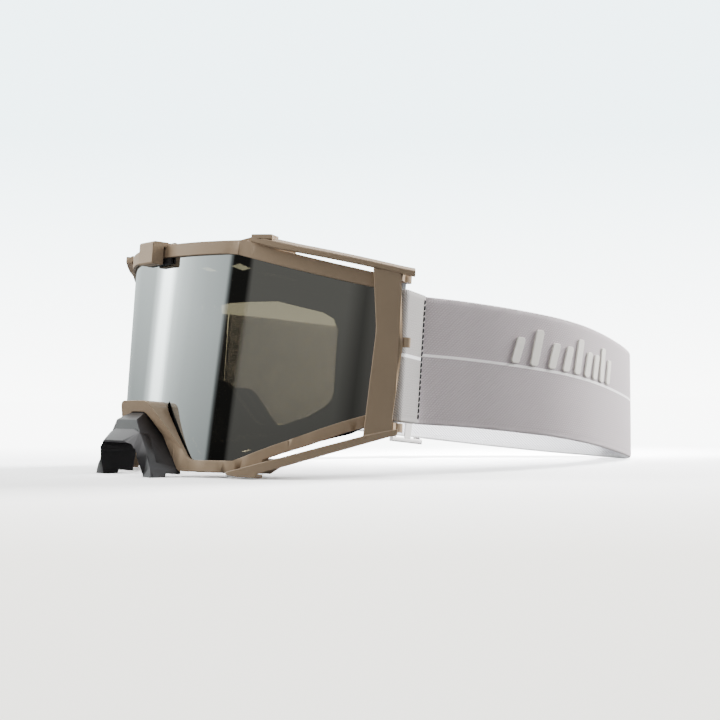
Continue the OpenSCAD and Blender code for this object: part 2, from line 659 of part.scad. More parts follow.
// The adjuster rides on the strap's right side, and the strap's tail runs back from it
adjust_u = 17;
tail_end_u = 14.2;
tail_gap = 0.8;
module strap_tail() color(webbing) strip(tail_end_u, adjust_u - tail_gap, 14,
    [for (p = strap_section) [p[0] + strap_t + 0.3, p[1]]]);
adjust_w = 15;
adjust_bar = 3;
adjust_gap = 0.9;
adjust_pitch = 7.1;
rail_gap = 0.6;
module strap_adjuster() {
    p = route(adjust_u);
    t = along(adjust_u);
    color(dark_plastic) translate([p[0], p[1] + rear_shift, p[2]])
        rotate([0, 0, atan2(t[1], t[0])]) rotate([0, -adjust_pitch, 0]) {
            // Local x runs forwards along the strap, y points in towards the head, z up
            for (z = [-rail_gap - 2.5, strap_w + rail_gap]) translate([-adjust_w / 2, -3.6, z])
                rotate([90, 0, 90]) linear_extrude(adjust_w)
                    polygon(rounded([[0, 0], [7.2, 0], [7.2, 2.5], [0, 2.5]], 0.9));
            for (x = [-adjust_w / 2, adjust_w / 2 - adjust_bar])
                translate([x, -strap_t / 2 - adjust_gap - 1.8, -1]) cube([adjust_bar, 1.8, strap_w + 2]);
            translate([-adjust_bar / 2, strap_t / 2 + adjust_gap, -1]) cube([adjust_bar, 1.8, strap_w + 2]);
        }
}

// Slanted rubber bars moulded on the upper half of the strap's left face
motif_u0 = 3.05;
motif_u1 = 6.3;
motif_low = 28;
motif_h = 15;
motif_slant = 3.5;
motif_w = 4.6;
function motif_height(i) = i % 3 == 1 ? motif_h : motif_h * 0.72;
module strap_motif() color(off_white) for (i = [0:motif_count - 1]) {
    u = motif_u0 + (motif_u1 - motif_u0) * i / (motif_count - 1);
    p = strap_point(u, strap_t / 2 + 0.06, motif_low);
    t = along(u);
    h = motif_height(i);
    translate([p[0], p[1] + rear_shift, p[2]]) rotate([0, 0, atan2(t[1], t[0])])
        rotate([90, route(u)[3], 0]) linear_extrude(motif_t)
            polygon(rounded([[-motif_w / 2, 0], [motif_w / 2, 0], [motif_w / 2 + motif_slant, h],
                [-motif_w / 2 + motif_slant, h]], 1.2, 3));
}

// Silicone lines printed on the strap's inside, up to where the strap doubles
grip_end_u = 14;
module grip_lines() color(off_white) for (k = [0:2])
    let (z = strap_w * (0.25 + 0.25 * k), g = -strap_t / 2 - 0.03)
    strip(2, grip_end_u, round(4 * (grip_end_u - 2)),
        [[g - 0.4, z - 0.5], [g, z - 0.8], [g, z + 0.8], [g - 0.4, z + 0.5]]);

// The inner frame and the foams fit the face: their backs lie on a second curve
face_r = 101;
flange_y = 28;
function face_y(x) = flange_y + face_r - sqrt(face_r * face_r - x * x);
skirt_front_half = [
    [arch_half + 0.8, -arch_top + 0.6],
    [arch_foot + 0.4, -(rim_bottom - cheek_h - 0.4)],
    [cheek_kink + 0.2, -(rim_bottom - cheek_h - 0.8)],
    [70, -24.4],
    [temple_x - 1.5, -12],
    [temple_x - 1.5, 34.4],
    [brow_kink - 0.5, rim_top - brow_h + 0.4]];
flange_half = [
    [10, -10.6],
    [28, -28],
    [46, -27.4],
    [61, -22.6],
    [74, -14],
    [74, 32.5],
    [45, 41]];
face_half = [
    [13, -2],
    [33, -19.4],
    [45, -18.8],
    [54.5, -15],
    [62.5, -9],
    [62.5, 24.4],
    [38, 30]];
corner_r = 7;
function curved(half, r) = [for (p = ring(half, corner_r, 2, 5)) on_curve(r, p)];
function faced(half, dy) = [for (p = ring(half, corner_r, 2, 5)) [p[0], face_y(p[0]) + dy, p[1]]];
function thinner(half, d) = let (g = grow(mirrored(half), -d)) [for (i = [0:len(half) - 1]) g[i]];
module loft(loops) let (m = len(loops), n = len(loops[0]))
    polyhedron(points = [for (l = loops) each l],
        faces = [for (j = [0:m - 1], i = [0:n - 1]) let (
            a = j * n + i,
            b = j * n + (i + 1) % n,
            c = ((j + 1) % m) * n + (i + 1) % n,
            d = ((j + 1) % m) * n + i)
            each [[a, b, c], [a, c, d]]]);
vent_w = 12;
low_vent_x = 39;
vent_d = 8;
module inner_frame() color(dark_plastic) placed() difference() {
    loft([curved(skirt_front_half, rim_back_r - 0.1), faced(flange_half, 0), faced(face_half, 0),
        faced(face_half, -skirt_t), faced(thinner(flange_half, skirt_t), -skirt_t),
        curved(thinner(skirt_front_half, skirt_t), rim_back_r - 0.1)]);
    for (x = [-50:20:50]) translate([x - vent_w / 2, vent_y(x) - vent_d / 2, 34])
        cube([vent_w, vent_d, 14]);
    for (s = [-1, 1]) translate([s * low_vent_x - vent_w / 2, vent_y(low_vent_x) - vent_d / 2, -40])
        cube([vent_w, vent_d, 16]);
}
function vent_y(x) = (on_curve(rim_back_r, [x, 0])[1] + face_y(x)) / 2;

// Thin foam strips that filter the air behind the vents
module vent_strip() intersection() {
    children();
    shell(60, rim_back_r - 2.5);
    translate([0, flange_y - skirt_t - seat_gap + 1 + face_r - front_r, 0]) shell(face_r, face_r + 40);
}
module top_vent_foam() color("#3c3b3d") placed() vent_strip()
    facing(concat([[-58, 32.6], [-44, 36.4], [44, 36.4], [58, 32.6]],
        [[58, 35], [44, 38.6], [-44, 38.6], [-58, 35]]));
// The lower strips lie on the skirt, which falls away outwards
low_strip_roll = 5.6;
low_strip_z = -27;
module bottom_vent_foam() color("#3c3b3d") placed() for (m = [0, 1]) mirror([m, 0, 0]) vent_strip()
    translate([low_vent_x, 0, low_strip_z]) rotate([0, low_strip_roll, 0])
        sideways([[14.5, -4.55], [38, 2.45], [38, 4.95], [14.5, -2.05]], -vent_w / 2 - 0.5, vent_w / 2 + 0.5);

module base_foam() color("#454446") placed()
    loft([faced(thinner(flange_half, 0.4), seat_gap), faced(thinner(flange_half, 0.4), base_foam_t),
        faced(thinner(face_half, -0.6), base_foam_t), faced(thinner(face_half, -0.6), seat_gap)]);

// Soft foam with a crown, its sides drawn in
function between(a, b, k) = [for (i = [0:len(a) - 1]) a[i] + (b[i] - a[i]) * k];
function lifted(a, dy) = [for (p = a) p + [0, dy, 0]];
function crown_loop(k, dy) = lifted(between(faced(thinner(flange_half, 1), 0),
    faced(thinner(face_half, -1.2), 0), k), dy);
foam_y0 = base_foam_t + seat_gap;
module face_foam() color("#3a393b") placed()
    loft([crown_loop(0.04, foam_y0), crown_loop(0, foam_y0 + face_foam_t * 0.6),
        crown_loop(0.12, foam_y0 + face_foam_t), crown_loop(0.5, foam_y0 + face_foam_t + foam_crown),
        crown_loop(0.88, foam_y0 + face_foam_t), crown_loop(1, foam_y0 + face_foam_t * 0.6),
        crown_loop(0.96, foam_y0)]);
fleece_y0 = foam_y0 + 0.2;
module fleece_liner() color("#565558") placed()
    loft([crown_loop(0.12, fleece_y0 + face_foam_t), crown_loop(0.16, fleece_y0 + face_foam_t + fleece_t),
        crown_loop(0.5, fleece_y0 + face_foam_t + foam_crown + fleece_t),
        crown_loop(0.84, fleece_y0 + face_foam_t + fleece_t), crown_loop(0.88, fleece_y0 + face_foam_t),
        crown_loop(0.5, fleece_y0 + face_foam_t + foam_crown)]);

front_frame();
inner_frame();
lens();
lens_gasket();
lens_latch();
latch_pin();
latch_pad();
nose_guard();
pivot_pins();
outrigger_left();
outrigger_right();
strap_bar_left();
strap_bar_right();
strap_loop_left();
strap_loop_right();
loop_stitching_left();
loop_stitching_right();
strap();
strap_tail();
strap_adjuster();
strap_motif();
grip_lines();
base_foam();
face_foam();
fleece_liner();
top_vent_foam();
bottom_vent_foam();
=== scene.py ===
import json
import math
from functools import partial

import bmesh
import bpy
from mathutils import Matrix, Vector, noise


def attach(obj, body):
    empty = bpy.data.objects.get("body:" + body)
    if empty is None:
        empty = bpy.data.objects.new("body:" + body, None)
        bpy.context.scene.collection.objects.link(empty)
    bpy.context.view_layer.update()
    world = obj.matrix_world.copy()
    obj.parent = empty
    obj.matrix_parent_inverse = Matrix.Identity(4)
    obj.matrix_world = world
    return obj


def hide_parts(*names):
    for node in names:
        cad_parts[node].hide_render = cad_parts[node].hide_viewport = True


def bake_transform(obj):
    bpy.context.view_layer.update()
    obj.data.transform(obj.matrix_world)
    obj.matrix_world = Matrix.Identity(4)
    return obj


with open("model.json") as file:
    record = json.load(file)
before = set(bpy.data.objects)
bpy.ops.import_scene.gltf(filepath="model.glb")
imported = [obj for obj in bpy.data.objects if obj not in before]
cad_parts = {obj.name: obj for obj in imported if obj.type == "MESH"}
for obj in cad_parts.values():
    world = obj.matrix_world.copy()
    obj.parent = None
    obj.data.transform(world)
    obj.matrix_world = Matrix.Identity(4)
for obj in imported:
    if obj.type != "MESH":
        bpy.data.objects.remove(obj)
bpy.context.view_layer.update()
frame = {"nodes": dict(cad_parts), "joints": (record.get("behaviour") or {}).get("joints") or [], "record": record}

bl_info = {
    "name": "Motocross Goggles",
    "version": (1, 0, 0),
    "blender": (4, 5, 0),
    "location": "3D View > Sidebar > Goggles",
    "description": "Dresses the goggles' frame with its lens, foams, strap and finishes",
    "category": "Object",
}

MM = 0.001
NODES = frame["nodes"]
JOINTS = {joint["name"]: joint for joint in frame["joints"]}
BODY_OF = {
    node: body
    for body, nodes in frame["record"]["behaviour"]["bodies"].items()
    for node in nodes
}

# The goggles are modelled upright in millimetres, with the rim's front a little before y = 0,
# and then leaned back and set on the table. The left hinge says how far and where.
HINGE = JOINTS["outrigger_left_hinge"]
LEAN = math.atan2(-HINGE["axis"][1], -HINGE["axis"][2])
FRONT_R = 107.0
RIM_BEFORE = 1.0
PIVOT_INSET = 1.8
CURVE_Y = FRONT_R - RIM_BEFORE
PIVOT_R = FRONT_R - PIVOT_INSET
PIVOT_X = HINGE["pos_m"][0] / MM
PIVOT = Vector((PIVOT_X, CURVE_Y - math.sqrt(PIVOT_R**2 - PIVOT_X**2), 0))
TURN = Matrix.Rotation(-LEAN, 4, "X") @ Matrix.Scale(MM, 4)
STAND = Matrix.Translation(Vector(HINGE["pos_m"]) - TURN @ PIVOT) @ TURN
# The strap lies on the table, so only its place is carried over
ON_TABLE = Matrix.Translation((0, STAND.translation.y, 0)) @ Matrix.Scale(MM, 4)

# Points nearer than this are one, and triangles that meet this flat are one face
SAME_POINT = 0.001 * MM
SAME_PLANE = math.radians(0.6)
# Faces that meet at more than the first angle keep a sharp edge, and at more than the second
# their edge gets a round. On the moulded pieces very short edges are first taken out, and an
# edge gets its round only where the edges at its ends leave it room.
SHARP_ANGLE = math.radians(32)
ROUND_ANGLE = math.radians(28)
ROOM_FOR_ROUND = 0.8 * MM
MOULD_WELD = 0.12 * MM
GUARD_WELD = 0.05 * MM
INNER_ROUND = 0.25 * MM
GUARD_ROUND = 0.2 * MM
ADJUSTER_ROUND = 0.3 * MM
MOTIF_ROUND = 0.25 * MM
FOAM_ROUND = 0.4 * MM
PIN_ROUND = 0.1 * MM

LENS_TINT = "#8f8a7c"
# How far the twill's ribs run back along the strap for each step across it
TWILL_SLOPE = -1.15
TWILL_WHITE = "#f4f2f0"
# The strap's woven line: its place as a share of the width, and its width
LINE_AT = 0.54
LINE_WIDTH = 1.1 * MM


# Properties


def size(name, description, default, least, most):
    """A length that a user can set, from values in millimetres."""
    return bpy.props.FloatProperty(
        name=name,
        description=description,
        default=default * MM,
        min=least * MM,
        max=most * MM,
        unit="LENGTH",
    )


class GogglesSizes(bpy.types.PropertyGroup):
    """Sizes that a user would change"""

    edge_round: size("Edge round", "Radius of the rounds on the moulded edges", 0.3, 0, 0.3)
    strap_width: size("Strap width", "Width of the elastic strap", 50, 40, 52)
    strap_thickness: size("Strap thickness", "Thickness of the strap's webbing", 1.7, 1, 2)
    twill_pitch: size("Twill pitch", "Distance between the twill's slanting lines", 1.55, 0.8, 3)
    stitch_length: size("Stitch length", "Length of a stitch in the loops' seams", 2.1, 1, 4)


def colour(name, description, code):
    """A colour that a user can set, which starts from an sRGB hex colour."""
    return bpy.props.FloatVectorProperty(
        name=name,
        description=description,
        subtype="COLOR",
        size=3,
        min=0,
        max=1,
        default=linear(code),
    )


def linear(code):
    """An sRGB hex colour, such as #8a7866, as linear red, green and blue."""
    parts = [int(code[i : i + 2], 16) / 255 for i in (1, 3, 5)]
    return tuple(c / 12.92 if c <= 0.04045 else ((c + 0.055) / 1.055) ** 2.4 for c in parts)


class GogglesColours(bpy.types.PropertyGroup):
    """Colours of the finishes"""

    frame: colour("Frame", "Moulded plastic of the front frame", "#937f68")
    inner: colour("Inner frame", "Moulded plastic of the inner frame", "#1d1d1e")
    guard: colour("Nose guard", "Moulded plastic of the nose guard", "#1c1b1d")
    strap: colour("Strap", "Yarn of the elastic strap", "#aba2a4")
    loop: colour("Loops", "Yarn of the strap's loops", "#a19d9a")
    motif: colour("Bars", "Raised rubber bars on the strap", "#dcd8d0")
    foam: colour("Foam", "Face foam", "#242326")


# Materials


def blank(kept_in, name):
    """A material or world of that name, and its node tree, emptied."""
    owner = kept_in.get(name) or kept_in.new(name)
    owner.use_nodes = True
    owner.node_tree.nodes.clear()
    return owner, owner.node_tree


def add(tree, kind, inputs=None, output=0, **settings):
    """Adds a node with its settings. Each input gets a value, or a link where it is given the
    output of another node. Returns the output that is asked for."""
    node = tree.nodes.new("ShaderNode" + kind)
    for name, value in settings.items():
        setattr(node, name, value)
    for key, value in (inputs or {}).items():
        if isinstance(value, bpy.types.NodeSocket):
            tree.links.new(value, node.inputs[key])
        else:
            node.inputs[key].default_value = value
    return node.outputs[output] if node.outputs else None


# The sockets of a Mix node that mixes colours: its share, its two colours and its result
SHARE, FROM, TO, MIXED = 0, 6, 7, 2


def tone(rgb, k):
    """The colour made lighter or darker, with its alpha."""
    return (*[min(1.0, c * k) for c in rgb], 1.0)


def moulded_plastic(name, rgb, rough, grain, grain_depth, paling=1.12):
    """Moulded TPU, nylon or acetal: satin, with a fine spark-eroded grain, and paler along its sharp edges, a
    painted highlight that stands in for the light that rounded edges catch. The grain is drawn coarser than it is,
    so that it shows."""
    material, tree = blank(bpy.data.materials, name)
    place = add(tree, "TexCoord", output="Object")
    cloud = add(tree, "TexNoise", {"Vector": place, "Scale": 1 / (14 * MM), "Detail": 3.0}, "Fac")
    grit = add(tree, "TexNoise", {"Vector": place, "Scale": 1 / grain, "Detail": 2.0}, "Fac")
    edge = add(tree, "NewGeometry", output="Pointiness")
    # Pointiness finds the sharp edges, and the colour is painted paler there: a painted highlight along the edges.
    edge_range = {"Value": edge, "From Min": 0.52, "From Max": 0.6, "To Min": 0.0, "To Max": 0.8}
    edge_highlight = add(tree, "MapRange", edge_range)
    darker, paler, highlight_tone = tone(rgb, 0.94), tone(rgb, 1.06), tone(rgb, paling)
    base = add(tree, "Mix", {SHARE: cloud, FROM: darker, TO: paler}, MIXED, data_type="RGBA")
    base = add(tree, "Mix", {SHARE: edge_highlight, FROM: base, TO: highlight_tone}, MIXED, data_type="RGBA")
    bump = add(tree, "Bump", {"Strength": grain_depth, "Distance": 0.05 * MM, "Height": grit})
    uneven = add(tree, "MapRange", {"Value": cloud, "To Min": rough - 0.04, "To Max": rough + 0.06})
    satin = {"Base Color": base, "Roughness": uneven, "IOR": 1.49, "Normal": bump}
    add(tree, "OutputMaterial", {"Surface": add(tree, "BsdfPrincipled", satin)})
    return material


def mirrored_lens(name):
    """The lens's outside: tinted polycarbonate under a silver mirror coat, with faint smears. It
    reflects the light part of a room and lets a darkened view through elsewhere."""
    material, tree = blank(bpy.data.materials, name)
    place = add(tree, "TexCoord", output="Object")
    smear = add(tree, "TexNoise", {"Vector": place, "Scale": 1 / (35 * MM), "Detail": 3.0}, "Fac")
    rough = add(tree, "MapRange", {"Value": smear, "To Min": 0.012, "To Max": 0.05})
    coat = add(tree, "BsdfGlossy", {"Color": (*linear("#eef3f4"), 1), "Roughness": rough})
    front = add(tree, "LayerWeight", {"Blend": 0.3}, "Fresnel")
    share = add(tree, "MapRange", {"Value": front, "To Min": 0.5, "To Max": 0.95})
    clear = add(tree, "BsdfTransparent", {"Color": (*linear(LENS_TINT), 1)})
    shader = add(tree, "MixShader", {0: share, 1: clear, 2: coat})
    add(tree, "OutputMaterial", {"Surface": shader})
    return material


def tinted_lens(name):
    """The lens's inside and edges: clear moulded polycarbonate with a grey-olive tint."""
    material, tree = blank(bpy.data.materials, name)
    place = add(tree, "TexCoord", output="Object")
    haze = add(tree, "TexNoise", {"Vector": place, "Scale": 1 / (20 * MM), "Detail": 2.0}, "Fac")
    rough = add(tree, "MapRange", {"Value": haze, "To Min": 0.02, "To Max": 0.06})
    skin = add(tree, "BsdfGlossy", {"Color": (*linear("#d8dcdc"), 1), "Roughness": rough})
    front = add(tree, "LayerWeight", {"Blend": 0.25}, "Fresnel")
    clear = add(tree, "BsdfTransparent", {"Color": (*linear(LENS_TINT), 1)})
    shader = add(tree, "MixShader", {0: front, 1: clear, 2: skin})
    add(tree, "OutputMaterial", {"Surface": shader})
    return material


def steel(name):
    """Ground and polished steel pin: bright, with faint turning marks."""
    material, tree = blank(bpy.data.materials, name)
    place = add(tree, "TexCoord", output="Object")
    flat = add(tree, "Mapping", {"Vector": place, "Scale": (1, 1, 12)})
    marks = add(tree, "TexNoise", {"Vector": flat, "Scale": 1 / (1.2 * MM), "Detail": 4.0}, "Fac")
    rough = add(tree, "MapRange", {"Value": marks, "To Min": 0.22, "To Max": 0.42})
    ground = {"Base Color": (*linear("#b9bbbf"), 1), "Metallic": 1.0, "Roughness": rough}
    add(tree, "OutputMaterial", {"Surface": add(tree, "BsdfPrincipled", ground)})
    return material


def foam_cells(name, rgb, cell, depth, sheen):
    """Open-cell polyurethane foam: a matt field of small pores, painted darker inside as painted shade."""
    material, tree = blank(bpy.data.materials, name)
    place = add(tree, "TexCoord", output="Object")
    cells = add(tree, "TexVoronoi", {"Vector": place, "Scale": 1 / cell}, "Distance")
    cloud = add(tree, "TexNoise", {"Vector": place, "Scale": 1 / (9 * MM), "Detail": 2.0}, "Fac")
    pores = add(tree, "MapRange", {"Value": cells, "From Min": 0.1, "From Max": 0.7})
    # The pores are painted dark, painted shade inside them, against the paler cell walls.
    painted_pore_shade, skin = tone(rgb, 0.45), tone(rgb, 1.25)
    base = add(tree, "Mix", {SHARE: pores, FROM: painted_pore_shade, TO: skin}, MIXED, data_type="RGBA")
    paling = add(tree, "Math", {0: cloud, 1: 0.35}, operation="MULTIPLY")
    base = add(tree, "Mix", {SHARE: paling, FROM: base, TO: tone(rgb, 1.5)}, MIXED, data_type="RGBA")
    bump = add(tree, "Bump", {"Strength": depth, "Distance": 0.4 * MM, "Height": pores})
    matt = {"Base Color": base, "Roughness": 0.95, "Normal": bump}
    matt.update({"Sheen Weight": sheen, "Sheen Roughness": 0.6})
    add(tree, "OutputMaterial", {"Surface": add(tree, "BsdfPrincipled", matt)})
    return material


def fleece_pile(name, rgb):
    """Brushed polyester fleece: short matted fibres with a soft sheen, painted darker at their roots and paler at
    their tips as painted shade and painted highlight in the pile.
    """
    material, tree = blank(bpy.data.materials, name)
    place = add(tree, "TexCoord", output="Object")
    fibre = {"Vector": place, "Scale": 1 / (0.5 * MM), "Detail": 5.0, "Roughness": 0.7}
    fibres = add(tree, "TexNoise", fibre, "Fac")
    clumps = add(tree, "TexNoise", {"Vector": place, "Scale": 1 / (3.5 * MM), "Detail": 2.0}, "Fac")
    # The fibres' roots are painted shade and their tips a painted highlight.
    painted_root_shade, painted_tip_highlight = tone(rgb, 0.6), tone(rgb, 1.6)
    base = add(tree, "Mix", {SHARE: fibres, FROM: painted_root_shade, TO: painted_tip_highlight}, MIXED, data_type="RGBA")
    height = add(tree, "Math", {0: fibres, 1: clumps}, operation="ADD")
    bump = add(tree, "Bump", {"Strength": 0.7, "Distance": 0.35 * MM, "Height": height})
    brushed = {"Base Color": base, "Roughness": 1.0, "Normal": bump}
    brushed.update({"Sheen Weight": 0.25, "Sheen Roughness": 0.4})
    add(tree, "OutputMaterial", {"Surface": add(tree, "BsdfPrincipled", brushed)})
    return material


def rubber(name, rgb, rough):
    """Moulded silicone or rubber: matt, with a trace of dust."""
    material, tree = blank(bpy.data.materials, name)
    place = add(tree, "TexCoord", output="Object")
    dust = add(tree, "TexNoise", {"Vector": place, "Scale": 1 / (2.5 * MM), "Detail": 4.0}, "Fac")
    clean, dusty = tone(rgb, 0.93), tone(rgb, 1.05)
    base = add(tree, "Mix", {SHARE: dust, FROM: clean, TO: dusty}, MIXED, data_type="RGBA")
    bump = add(tree, "Bump", {"Strength": 0.15, "Distance": 0.05 * MM, "Height": dust})
    matt = {"Base Color": base, "Roughness": rough, "IOR": 1.45, "Normal": bump}
    add(tree, "OutputMaterial", {"Surface": add(tree, "BsdfPrincipled", matt)})
    return material


def thread(name):
    """Bonded polyester sewing thread: two plies, so it has fine slanting ribs, painted darker in the grooves
    between them and paler on their crests as painted shade and painted highlight.
    """
    material, tree = blank(bpy.data.materials, name)
    place = add(tree, "TexCoord", output="Object")
    turned = add(tree, "Mapping", {"Vector": place, "Rotation": (0.6, 0, 0)})
    ply = add(tree, "TexWave", {"Vector": turned, "Scale": 0.3 / (0.5 * MM)}, "Fac")
    # The ply's wave sets the colour: painted shade in the grooves and a painted highlight on the crests.
    dark, pale = (*linear("#101012"), 1), (*linear("#2a2a2c"), 1)
    base = add(tree, "Mix", {SHARE: ply, FROM: dark, TO: pale}, MIXED, data_type="RGBA")
    bump = add(tree, "Bump", {"Strength": 0.6, "Distance": 0.1 * MM, "Height": ply})
    bonded = {"Base Color": base, "Roughness": 0.6, "Normal": bump}
    add(tree, "OutputMaterial", {"Surface": add(tree, "BsdfPrincipled", bonded)})
    return material


def twill_webbing(name, rgb, pitch, width, line_at=None, line_width=0, line_rgb=None):
    """Elastic twill webbing: slanting ribs of yarn, painted darker in their valleys and lighter on their crests as
    painted shade and painted highlight, firmer selvedges with short cross ribs, and where line_at is given a woven
    line along it. The ribs are drawn coarser than they are, so that they show. The UV map is in metres along and
    across."""
    material, tree = blank(bpy.data.materials, name)
    weave_map = add(tree, "UVMap", uv_map="weave")
    along, across = add(tree, "SeparateXYZ", {"Vector": weave_map}).node.outputs[:2]
    wander, fuzz = (
        add(
            tree, "TexNoise", {"Vector": weave_map, "Scale": 1 / (lump * MM), "Detail": 3.0}, "Fac",
            noise_dimensions="2D",
        )
        for lump in (6, 0.45)
    )
    slant = add(tree, "Math", {0: across, 1: TWILL_SLOPE, 2: along}, operation="MULTIPLY_ADD")
    shaken = add(tree, "Math", {0: wander, 1: 0.5 * pitch, 2: slant}, operation="MULTIPLY_ADD")
    waves = []
    for value, length in ((shaken, pitch), (across, 0.9 * MM), (along, 0.8 * MM)):
        phase = add(tree, "Math", {0: value, 1: 2 * math.pi / length}, operation="MULTIPLY")
        wave = add(tree, "Math", {0: phase}, operation="SINE")
        waves.append(add(tree, "Math", {0: wave, 1: 0.5, 2: 0.5}, operation="MULTIPLY_ADD"))
    rib, yarn, cross = waves
    yarn = add(tree, "Math", {0: yarn, 1: 0.35, 2: 0.65}, operation="MULTIPLY_ADD")
    weave = add(tree, "Math", {0: yarn, 1: rib}, operation="MULTIPLY")
    off = add(tree, "Math", {0: across, 1: width / 2}, operation="SUBTRACT")
    middle = add(tree, "Math", {0: off}, operation="ABSOLUTE")
    outer, inner = width / 2 - 1.2 * MM, width / 2 - 2.2 * MM
    selvedge = add(tree, "MapRange", {"Value": middle, "From Min": inner, "From Max": outer})
    height = add(tree, "Mix", {0: selvedge, 2: weave, 3: cross}, data_type="FLOAT")
    # The weave's height sets its colour: painted shade in the valleys and a painted highlight on the crests.
    painted_valley_shade, painted_crest_highlight = tone(rgb, 0.82), tone(rgb, 1.12)
    base = add(tree, "Mix", {SHARE: height, FROM: painted_valley_shade, TO: painted_crest_highlight}, MIXED, data_type="RGBA")
    for value, share, other in ((fuzz, 0.5, 1.1), (selvedge, 0.55, 1.35)):
        part = add(tree, "Math", {0: value, 1: share}, operation="MULTIPLY")
        base = add(
            tree, "Mix", {SHARE: part, FROM: base, TO: tone(rgb, other)}, MIXED, data_type="RGBA"
        )
    if line_at is not None:
        off = add(tree, "Math", {0: across, 1: line_at}, operation="SUBTRACT")
        off = add(tree, "Math", {0: off}, operation="ABSOLUTE")
        edge = {"From Min": line_width * 0.4, "From Max": line_width * 0.6}
        line = add(tree, "MapRange", {"Value": off, **edge, "To Min": 1.0, "To Max": 0.0})
        part = add(tree, "Math", {0: line, 1: 0.9}, operation="MULTIPLY")
        base = add(
            tree, "Mix", {SHARE: part, FROM: base, TO: (*line_rgb, 1)}, MIXED, data_type="RGBA"
        )
    lumps = add(tree, "Math", {0: fuzz, 1: 0.35, 2: height}, operation="MULTIPLY_ADD")
    bump = add(tree, "Bump", {"Strength": 0.55, "Distance": 0.22 * MM, "Height": lumps})
    woven = {"Base Color": base, "Roughness": 0.85, "Normal": bump}
    woven.update({"Sheen Weight": 0.15, "Sheen Roughness": 0.45})
    add(tree, "OutputMaterial", {"Surface": add(tree, "BsdfPrincipled", woven)})
    return material


# Modelling helpers


def new_object(name, bm, matrix, body, material, node):
    """Puts a finished bmesh in the scene, in metres in the CAD's frame, on its body, for a node."""
    bmesh.ops.transform(bm, matrix=matrix, verts=bm.verts)
    mesh = bpy.data.meshes.new(name)
    bm.to_mesh(mesh)
    bm.free()
    obj = bpy.data.objects.new(name, mesh)
    bpy.context.scene.collection.objects.link(obj)
    mesh.materials.append(material)
    if body:
        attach(obj, body)
    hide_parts(node)
    return obj


def meets_at(edge, angle):
    """Whether the edge's two faces meet at more than an angle."""
    return len(edge.link_faces) == 2 and edge.calc_face_angle(0) > angle


def shade(bm):
    """Makes the faces smooth, and the edges between them sharp where they meet steeply."""
    for face in bm.faces:
        face.smooth = True
    for edge in bm.edges:
        edge.smooth = not meets_at(edge, SHARP_ANGLE)


def mark_roomy_edges(bm):
    """Marks, for a bevel, the sharp edges that have no very short edge at their ends."""
    weight = bm.edges.layers.float.new("bevel_weight_edge")
    for edge in bm.edges:
        if meets_at(edge, ROUND_ANGLE):
            near = [other.calc_length() for vert in edge.verts for other in vert.link_edges]
            edge[weight] = float(min(near) >= ROOM_FOR_ROUND)


def dressed(node, material, edge_round=0, segments=2, ride=True, weld=0):
    """A copy of a rigid node with its small edges rounded, which stands for it. With a weld
    only the edges that have room get a round."""
    bm = bmesh.new()
    bm.from_mesh(NODES[node].data)
    bmesh.ops.remove_doubles(bm, verts=bm.verts, dist=max(weld, SAME_POINT))
    bmesh.ops.dissolve_limit(
        bm, angle_limit=SAME_PLANE, verts=bm.verts, edges=bm.edges, delimit={"NORMAL"}
    )
    shade(bm)
    if weld:
        mark_roomy_edges(bm)
    body = BODY_OF[node] if ride else None
    obj = new_object("piece_" + node, bm, Matrix.Identity(4), body, material, node)
    if edge_round:
        bevel = obj.modifiers.new("edge_round", "BEVEL")
        bevel.width = edge_round
        bevel.segments = segments
        bevel.limit_method = "WEIGHT" if weld else "ANGLE"
        bevel.angle_limit = ROUND_ANGLE
        bevel.use_clamp_overlap = not weld
        bevel.harden_normals = True
    return obj


def bake(obj):
    """Applies the object's modifiers to its mesh."""
    seen = obj.evaluated_get(bpy.context.evaluated_depsgraph_get())
    mesh = bpy.data.meshes.new_from_object(seen)
    mesh.name = obj.name
    obj.modifiers.clear()
    obj.data = mesh


SIM_FRAMES = 20
FOAM_PRESSURE = 4
FOAM_VOXEL = 2.2 * MM
# The glued side is what faces the front: how squarely, as a cosine
GLUED_SIDE = 0.6


def puffed(node, material, rise):
    """Foam swollen by a short cloth simulation: it starts a little smaller than its solid, is
    held where it is glued on, and bulges out to the solid's skin between its edges."""
    bm = bmesh.new()
    bm.from_mesh(NODES[node].data)
    bmesh.ops.remove_doubles(bm, verts=bm.verts, dist=SAME_POINT)
    bm.normal_update()
    for vert in bm.verts:
        vert.co -= rise * vert.normal
    name, body = "piece_" + node, BODY_OF[node]
    obj = new_object(name, bm, Matrix.Identity(4), body, material, node)
    remesh = obj.modifiers.new("remesh", "REMESH")
    remesh.mode = "VOXEL"
    remesh.voxel_size = FOAM_VOXEL
    remesh.use_smooth_shade = True
    bake(obj)
    swell(obj, rise)
    obj.data.materials.clear()
    obj.data.materials.append(material)
    smooth = obj.modifiers.new("smooth", "SUBSURF")
    smooth.levels = smooth.render_levels = 1
    return obj


